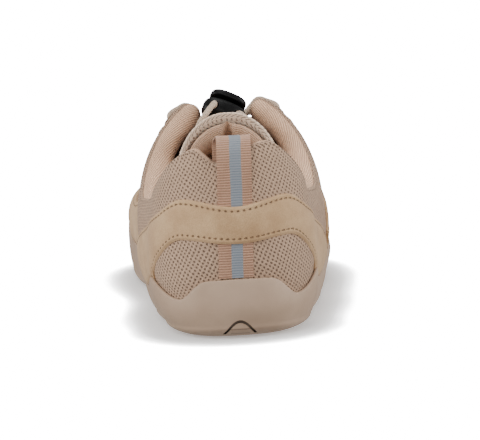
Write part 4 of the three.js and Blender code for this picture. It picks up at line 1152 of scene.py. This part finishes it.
def makeSole():
    outside = cupOutside(0)
    lipTurn = np.linspace(0, math.pi, sole["lip"] + 2)[1:-1]
    gap, lip = shoe["gap"], shoe["lip"]
    lips = []
    for turn in lipTurn:
        offset = gap + lip / 2 + lip / 2 * math.cos(turn)
        lips.append(offSkin((soleEdge + 0.5 * math.sin(turn))[None, :], offset)[0])
    inside = [cupRing(k, gap) for k in np.linspace(1, 0, sole["seat"])]
    rows = toMiddle(outside[0], [0, 0.3, 0.6, 0.85]) + outside + lips + inside + toMiddle(inside[-1], [0.6, 0])
    piece = ringed("sole_cup", rows)
    piece.data.materials.append(rubberFinish)
    for at, half in tread:
        ground = float(springAt((at - 0.5) * shoe["length"]))
        knife = prism("groove", grooveOutline(at, half), "Z", ground - 4, ground + sole["groove"])
        knife.data.materials.append(grooveShadeFinish)
        cut(piece, knife)
    ring = prism("arch", archOutline(arch["groove"], arch["foot"]), "Y", -shoe["length"] / 2 - 8, -shoe["length"] * 0.43)
    cut(ring, prism("arch_inside", archOutline(0, arch["foot"] - 3), "Y", -shoe["length"] / 2 - 9, -shoe["length"] * 0.42))
    core = cupOutside(arch["groove"])
    cut(ring, ringed("core", toMiddle(core[0], [0, 0.5]) + core + toMiddle(core[-1], [0.5, 0])))
    ring.data.materials.clear()
    ring.data.materials.append(grooveShadeFinish)
    cut(piece, ring)
    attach(piece, "shoe")
    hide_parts("outsole")
    finished(piece, smoothAngle=42)


makeSole()
print("sole moulded")

# The footbed: a dished sheet of foam with a rounded edge
footbed = {"thick": 4, "round": 1.3, "dish": 1.6, "edge": 6}


def makeFootbed():
    level = lengthUntil(skins[..., 2] - seatAt(skins[..., 1]) - shoe["gap"])
    wallIn = shoe["upperWall"] + shoe["gap"]

    def ring(inset, height):
        points = offSkin(level[None, :], -(wallIn + inset))[0]
        points[:, 2] = seatAt(points[:, 1]) + shoe["gap"] + height * footbed["thick"]
        return points

    turns = np.linspace(-math.pi / 2, math.pi / 2, 9)
    edge = [ring(footbed["round"] * (1 - math.cos(t)), 0.5 + 0.5 * math.sin(t)) for t in turns]
    shares = [0.94, 0.86, 0.75, 0.6, 0.45, 0.3, 0.15, 0]
    top = toMiddle(edge[-1], shares)
    for share, points in zip(shares, top):
        points[:, 2] -= footbed["dish"] * smooth((1 - share) / 0.5) * (1 - smooth((points[:, 1] + 60) / 80))
    rows = toMiddle(edge[0], [0, 0.5]) + edge + top
    points = np.array(rows)
    flat = points[..., :2]
    columns = (np.arange(count + 1) + halfTurn) % count
    piece = facingOut(laid("footbed", points[:, columns], {"UVMap": flat[:, columns]}, close=True))
    dressed(piece, footbedFinish, "shoe", "footbed", "insole")


makeFootbed()

# The lace's crossings, each up through its eyelet, over the throat and down on the tongue
crossing = {"sink": -3.4, "aside": 0.16, "sides": 12}


def eyeletPlace(at, side, offset):
    return throatPlace(at, side, lace["inset"], offset)


def makeCrossings():
    over = shoe["gap"] + lace["overlay"] + 1.5 * shoe["gap"] + lace["diameter"] / 2
    onCloth = lace["diameter"] / 2 + 5.5 * shoe["gap"]

    def strand(first, second, side):
        middle = (first + second) / 2
        near = first + 0.3 * (second - first)
        far = second + 0.3 * (first - second)
        return curveThrough([
            eyeletPlace(first, side, crossing["sink"]),
            eyeletPlace(first, side, 1.2),
            eyeletPlace(first, side, over) * 0.7 + throatPlace(near, side, 0, over) * 0.3,
            throatPlace(near, side, 0, over),
            throatPlace(near, side, -3.5, over - 1),
            onTongue(middle + 0.2 * (first - middle), crossing["aside"] * side, onCloth),
            onTongue(middle - 0.2 * (first - middle), -crossing["aside"] * side, onCloth),
            throatPlace(far, -side, -3.5, over - 1),
            throatPlace(far, -side, 0, over),
            eyeletPlace(second, -side, over) * 0.7 + throatPlace(far, -side, 0, over) * 0.3,
            eyeletPlace(second, -side, 1.2),
            eyeletPlace(second, -side, crossing["sink"]),
        ], 0.9)

    runs = lace["runs"]
    lines = [strand(high, low, side) for low, high in zip(runs, runs[1:]) for side in (1, -1)]
    lines.append(strand(runs[-1], runs[-1], 1))
    pieces = [tube("strand", line, lace["diameter"], crossing["sides"]) for line in lines]
    bpy.ops.object.select_all(action="DESELECT")
    for piece in pieces:
        facingOut(piece)
        piece.select_set(True)
    bpy.context.view_layer.objects.active = pieces[0]
    bpy.ops.object.join()
    joined = bpy.context.object
    joined.name = joined.data.name = "lace_rows"
    bpy.ops.object.select_all(action="DESELECT")
    dressed(joined, cordFinish, "shoe", "lace", "lace_crossings")


makeCrossings()
facingOut(laceEnds)
laceEnds.data.materials.append(cordFinish)
print("lace threaded")


# The cord lock: an oval barrel with a sprung button that runs on the lace
def ovalBlock(name, width, depth, low, high, top, bottom, crown):
    bpy.ops.mesh.primitive_cylinder_add(vertices=64, radius=0.5, depth=1, end_fill_type="NGON")
    piece = bpy.context.object
    piece.name = piece.data.name = name
    mesh = piece.data
    for vertex in mesh.vertices:
        x, y = vertex.co.x, vertex.co.y
        fuller = (abs(2 * x) ** 2.5 + abs(2 * y) ** 2.5) ** (-1 / 2.5)
        vertex.co = Vector((x * fuller * width, y * fuller * depth, low if vertex.co.z < 0 else high)) * mm
    bpy.ops.object.mode_set(mode="EDIT")
    bpy.ops.mesh.select_mode(type="FACE")
    for height, rings in ((low, bottom), (high, top)):
        for inset, rise in rings:
            bpy.ops.object.mode_set(mode="OBJECT")
            for face in mesh.polygons:
                face.select = len(face.vertices) > 4 and (face.normal.z > 0.5) == (height == high)
            bpy.ops.object.mode_set(mode="EDIT")
            bpy.ops.mesh.inset(thickness=inset * mm, depth=rise * mm)
    bpy.ops.object.mode_set(mode="OBJECT")
    return piece


def roundRings(radius, steps_):
    turns = np.linspace(0, math.pi / 2, steps_ + 1)
    return [
        (radius * (math.cos(a) - math.cos(b)), radius * (math.sin(b) - math.sin(a)))
        for a, b in zip(turns, turns[1:])
    ]


def rodPiece(name, diameter, low, high):
    bpy.ops.mesh.primitive_cylinder_add(
        vertices=40, radius=diameter / 2 * mm, depth=(high - low) * mm, location=(0, 0, (low + high) / 2 * mm))
    bpy.ops.object.transform_apply(location=True)
    piece = bpy.context.object
    piece.name = name
    return piece


def placeOnLace(piece):
    matrix = lockFrame.copy()
    matrix.translation = lockFrame.translation * mm
    piece.data.transform(matrix)


def makeLock():
    half = lock["height"] / 2
    rounding = 3.3
    barrel = ovalBlock(
        "lock_barrel_shell", lock["width"], lock["depth"], -half + rounding, half - rounding,
        [*roundRings(rounding, 7)], [*roundRings(rounding, 7)], 0)
    cut(barrel, rodPiece("bore", lock["stem"] + 2 * shoe["gap"], -0.1 * lock["height"], lock["height"]))
    for side in (1, -1):
        hole = rodPiece("hole", lace["diameter"] + 3 * shoe["gap"], -lock["depth"], lock["depth"])
        hole.data.transform(Matrix.Translation(Vector((side * lock["spread"], 0, -lock["low"])) * mm)
                            @ Matrix.Rotation(math.pi / 2, 4, "X"))
        cut(barrel, hole)
    finished(barrel, bevel=0.35, angle=38, smoothAngle=34)
    placeOnLace(barrel)
    dressed(barrel, lockFinish, "shoe", "lock_plastic", "lock_barrel")

    foot = half + lock["travel"] + shoe["gap"]
    crown = 1.75
    button = ovalBlock(
        "lock_button_cap", 0.84 * lock["width"], 0.84 * lock["depth"], foot + 1.2, foot + lock["cap"] - crown,
        [*roundRings(crown, 6), (1.1, -0.25), (0.8, -0.1)], [*roundRings(1.2, 4)], 0)
    stem = rodPiece("stem", lock["stem"], -0.1 * lock["height"] + lock["travel"] + shoe["gap"], foot + 0.4 * lock["cap"])
    cut(button, stem, "UNION")
    finished(button, bevel=0.2, angle=50, smoothAngle=34)
    placeOnLace(button)
    dressed(button, lockFinish, "button", "lock_plastic", "lock_button")


makeLock()
print("lock fitted")

# Pressed rims round the eyelets
rim = {"radius": 2.75, "wire": 0.6, "lift": 1.75}


def makeRims():
    pieces = []
    for at in lace["runs"]:
        for side in (1, -1):
            foot = Vector(eyeletPlace(at, side, 0))
            head = Vector(eyeletPlace(at, side, 4))
            bpy.ops.mesh.primitive_torus_add(
                major_radius=rim["radius"] * mm, minor_radius=rim["wire"] * mm, major_segments=32, minor_segments=10)
            piece = bpy.context.object
            turn = (head - foot).to_track_quat("Z", "Y").to_matrix().to_4x4()
            place = Matrix.Translation((foot + (head - foot).normalized() * rim["lift"]) * mm)
            piece.data.transform(place @ turn @ Matrix.Diagonal((1, 1, 0.6, 1)))
            pieces.append(piece)
    bpy.ops.object.select_all(action="DESELECT")
    for piece in pieces:
        piece.select_set(True)
    bpy.context.view_layer.objects.active = pieces[0]
    bpy.ops.object.join()
    joined = bpy.context.object
    joined.name = joined.data.name = "eyelet_rims"
    bpy.ops.object.shade_smooth()
    bpy.ops.object.select_all(action="DESELECT")
    dressed(joined, rimFinish, "shoe", "suede")


makeRims()

# Stitches: one thread bead, copied between the needle holes of every seam
stitch = {"pitch": 2.45, "length": 1.15, "width": 0.55}


def makeStitches():
    low, high = bandEdges()
    bandEnd, guardStart, stayStart = forward(band["end"]), forward(guard["start"]), forward(stay["start"])
    inset = overlay["seam"]
    overTape = band["lift"] * smooth((0.056 - run) / 0.026)
    guardTop = np.maximum(feather + readTable(guardTable, "reach", run) * (topline - feather), overSole + 4)
    width = lastBall * (stay["wide"] - (stay["wide"] - stay["narrow"]) * smooth((run - 0.6) / 0.1))
    stayTop = topline - 0.022 * lastBall - stay["drop"] * (1 - smooth((run - stay["start"]) / 0.05))
    seams = [
        (around(count - bandEnd, count + bandEnd), high - inset, 1.28 + overTape),
        (around(count - bandEnd, count + bandEnd), low + inset, 1.28 + overTape),
        (around(guardStart, count - guardStart), guardTop - inset, 1.28 + 0 * run),
        (around(stayStart, count - stayStart), topline - width + inset, 1.28 + 0 * run),
        (around(stayStart, count - stayStart), stayTop - 1.7, 1.28 + 0 * run),
    ]
    bpy.ops.mesh.primitive_uv_sphere_add(segments=8, ring_count=5, radius=0.5)
    bead = bpy.context.object
    shape = np.array([v.co for v in bead.data.vertices])
    faces = [list(p.vertices) for p in bead.data.polygons]
    bpy.data.objects.remove(bead)
    places, loops = [], []
    for columns, lengths, offset in seams:
        line = offSkin(lengths[None, :], offset)[0][columns]
        above = offSkin(lengths[None, :], offset + 1)[0][columns]
        along = alongOf(line)
        for middle in np.arange(stitch["pitch"], along[-1] - 0.6, stitch["pitch"]):
            here, ahead, up = (
                np.array([np.interp(middle + step, along, source[:, axis]) for axis in range(3)])
                for step, source in ((0, line), (0.4, line), (0, above)))
            way, rise = unit(ahead - here), unit(up - here)
            side = np.cross(rise, way)
            size = (stitch["length"], stitch["width"], stitch["width"] * 0.8)
            bent = shape * size
            loops += [[v + len(places) * len(shape) for v in face] for face in faces]
            places.append(here + bent[:, :1] * way + bent[:, 1:2] * side + bent[:, 2:] * rise)
    mesh = bpy.data.meshes.new("seam_thread")
    mesh.from_pydata((np.concatenate(places) * mm).tolist(), [], loops)
    piece = bpy.data.objects.new("seam_thread", mesh)
    bpy.context.scene.collection.objects.link(piece)
    bpy.context.view_layer.objects.active = piece
    piece.select_set(True)
    bpy.ops.object.shade_smooth()
    bpy.ops.object.select_all(action="DESELECT")
    dressed(facingOut(piece), threadFinish, "shoe", "suede")
    print("stitches:", len(places))


makeStitches()

# The studio: a pale glowing floor with a soft shadow painted in where the shoe stands, and soft white light
studio = {"glow": 18.0, "world": 0.5}


def makeStudio():
    bpy.ops.mesh.primitive_plane_add(size=60)
    ground = bpy.context.object
    ground.name = "studio_floor"
    ground.visible_diffuse = False
    ground.visible_glossy = False
    finish = Finish("pale floor", (0.9, 0.9, 0.9, 1), 0.9)
    # painted shadow: ambient occlusion dims the floor's glow close to the shoe
    near = finish.node("AmbientOcclusion", {"samples": 8}, {"Distance": 0.017}, out="AO")
    wide = finish.node("AmbientOcclusion", {"samples": 8}, {"Distance": 0.09}, out="AO")
    glow = (near.worked("POWER", 12.0) * 0.985 + 0.015) * (wide * 0.12 + 0.88)
    shade = finish.node("CombineColor", values={"Red": glow, "Green": glow, "Blue": glow})
    finish.put(finish.shader, {"Emission Color": shade, "Emission Strength": studio["glow"]})
    ground.data.materials.append(finish.material)
    world = bpy.context.scene.world or bpy.data.worlds.new("World")
    bpy.context.scene.world = world
    world.use_nodes = True
    nodes, links = world.node_tree.nodes, world.node_tree.links
    back = nodes["Background"]
    back.inputs["Color"].default_value = (1, 1, 1, 1)
    # seen directly the backdrop is as white as the floor, but it lights the shoe softly
    seen, bright = nodes.new("ShaderNodeLightPath"), nodes.new("ShaderNodeMapRange")
    bright.inputs["To Min"].default_value = studio["world"]
    bright.inputs["To Max"].default_value = studio["glow"]
    links.new(seen.outputs["Is Camera Ray"], bright.inputs["Value"])
    links.new(bright.outputs["Result"], back.inputs["Strength"])
    for name, place, size, power in (
        ("key", (-0.5, -1.3, 1.2), 0.8, 10.5), ("top", (0.1, 0.1, 1.6), 1.0, 10),
        ("left", (-1.3, -0.3, 0.4), 0.9, 15), ("right", (1.3, -0.3, 0.4), 0.9, 15), ("low", (0.1, -1.4, 0.1), 0.6, 5),
    ):
        bpy.ops.object.light_add(type="AREA", location=place)
        light = bpy.context.object
        light.name = name
        light.data.size = size
        light.data.energy = power
        light.rotation_euler = (Vector((0, -0.05, 0.05)) - Vector(place)).to_track_quat("-Z", "Y").to_euler()


makeStudio()
print("studio lit")
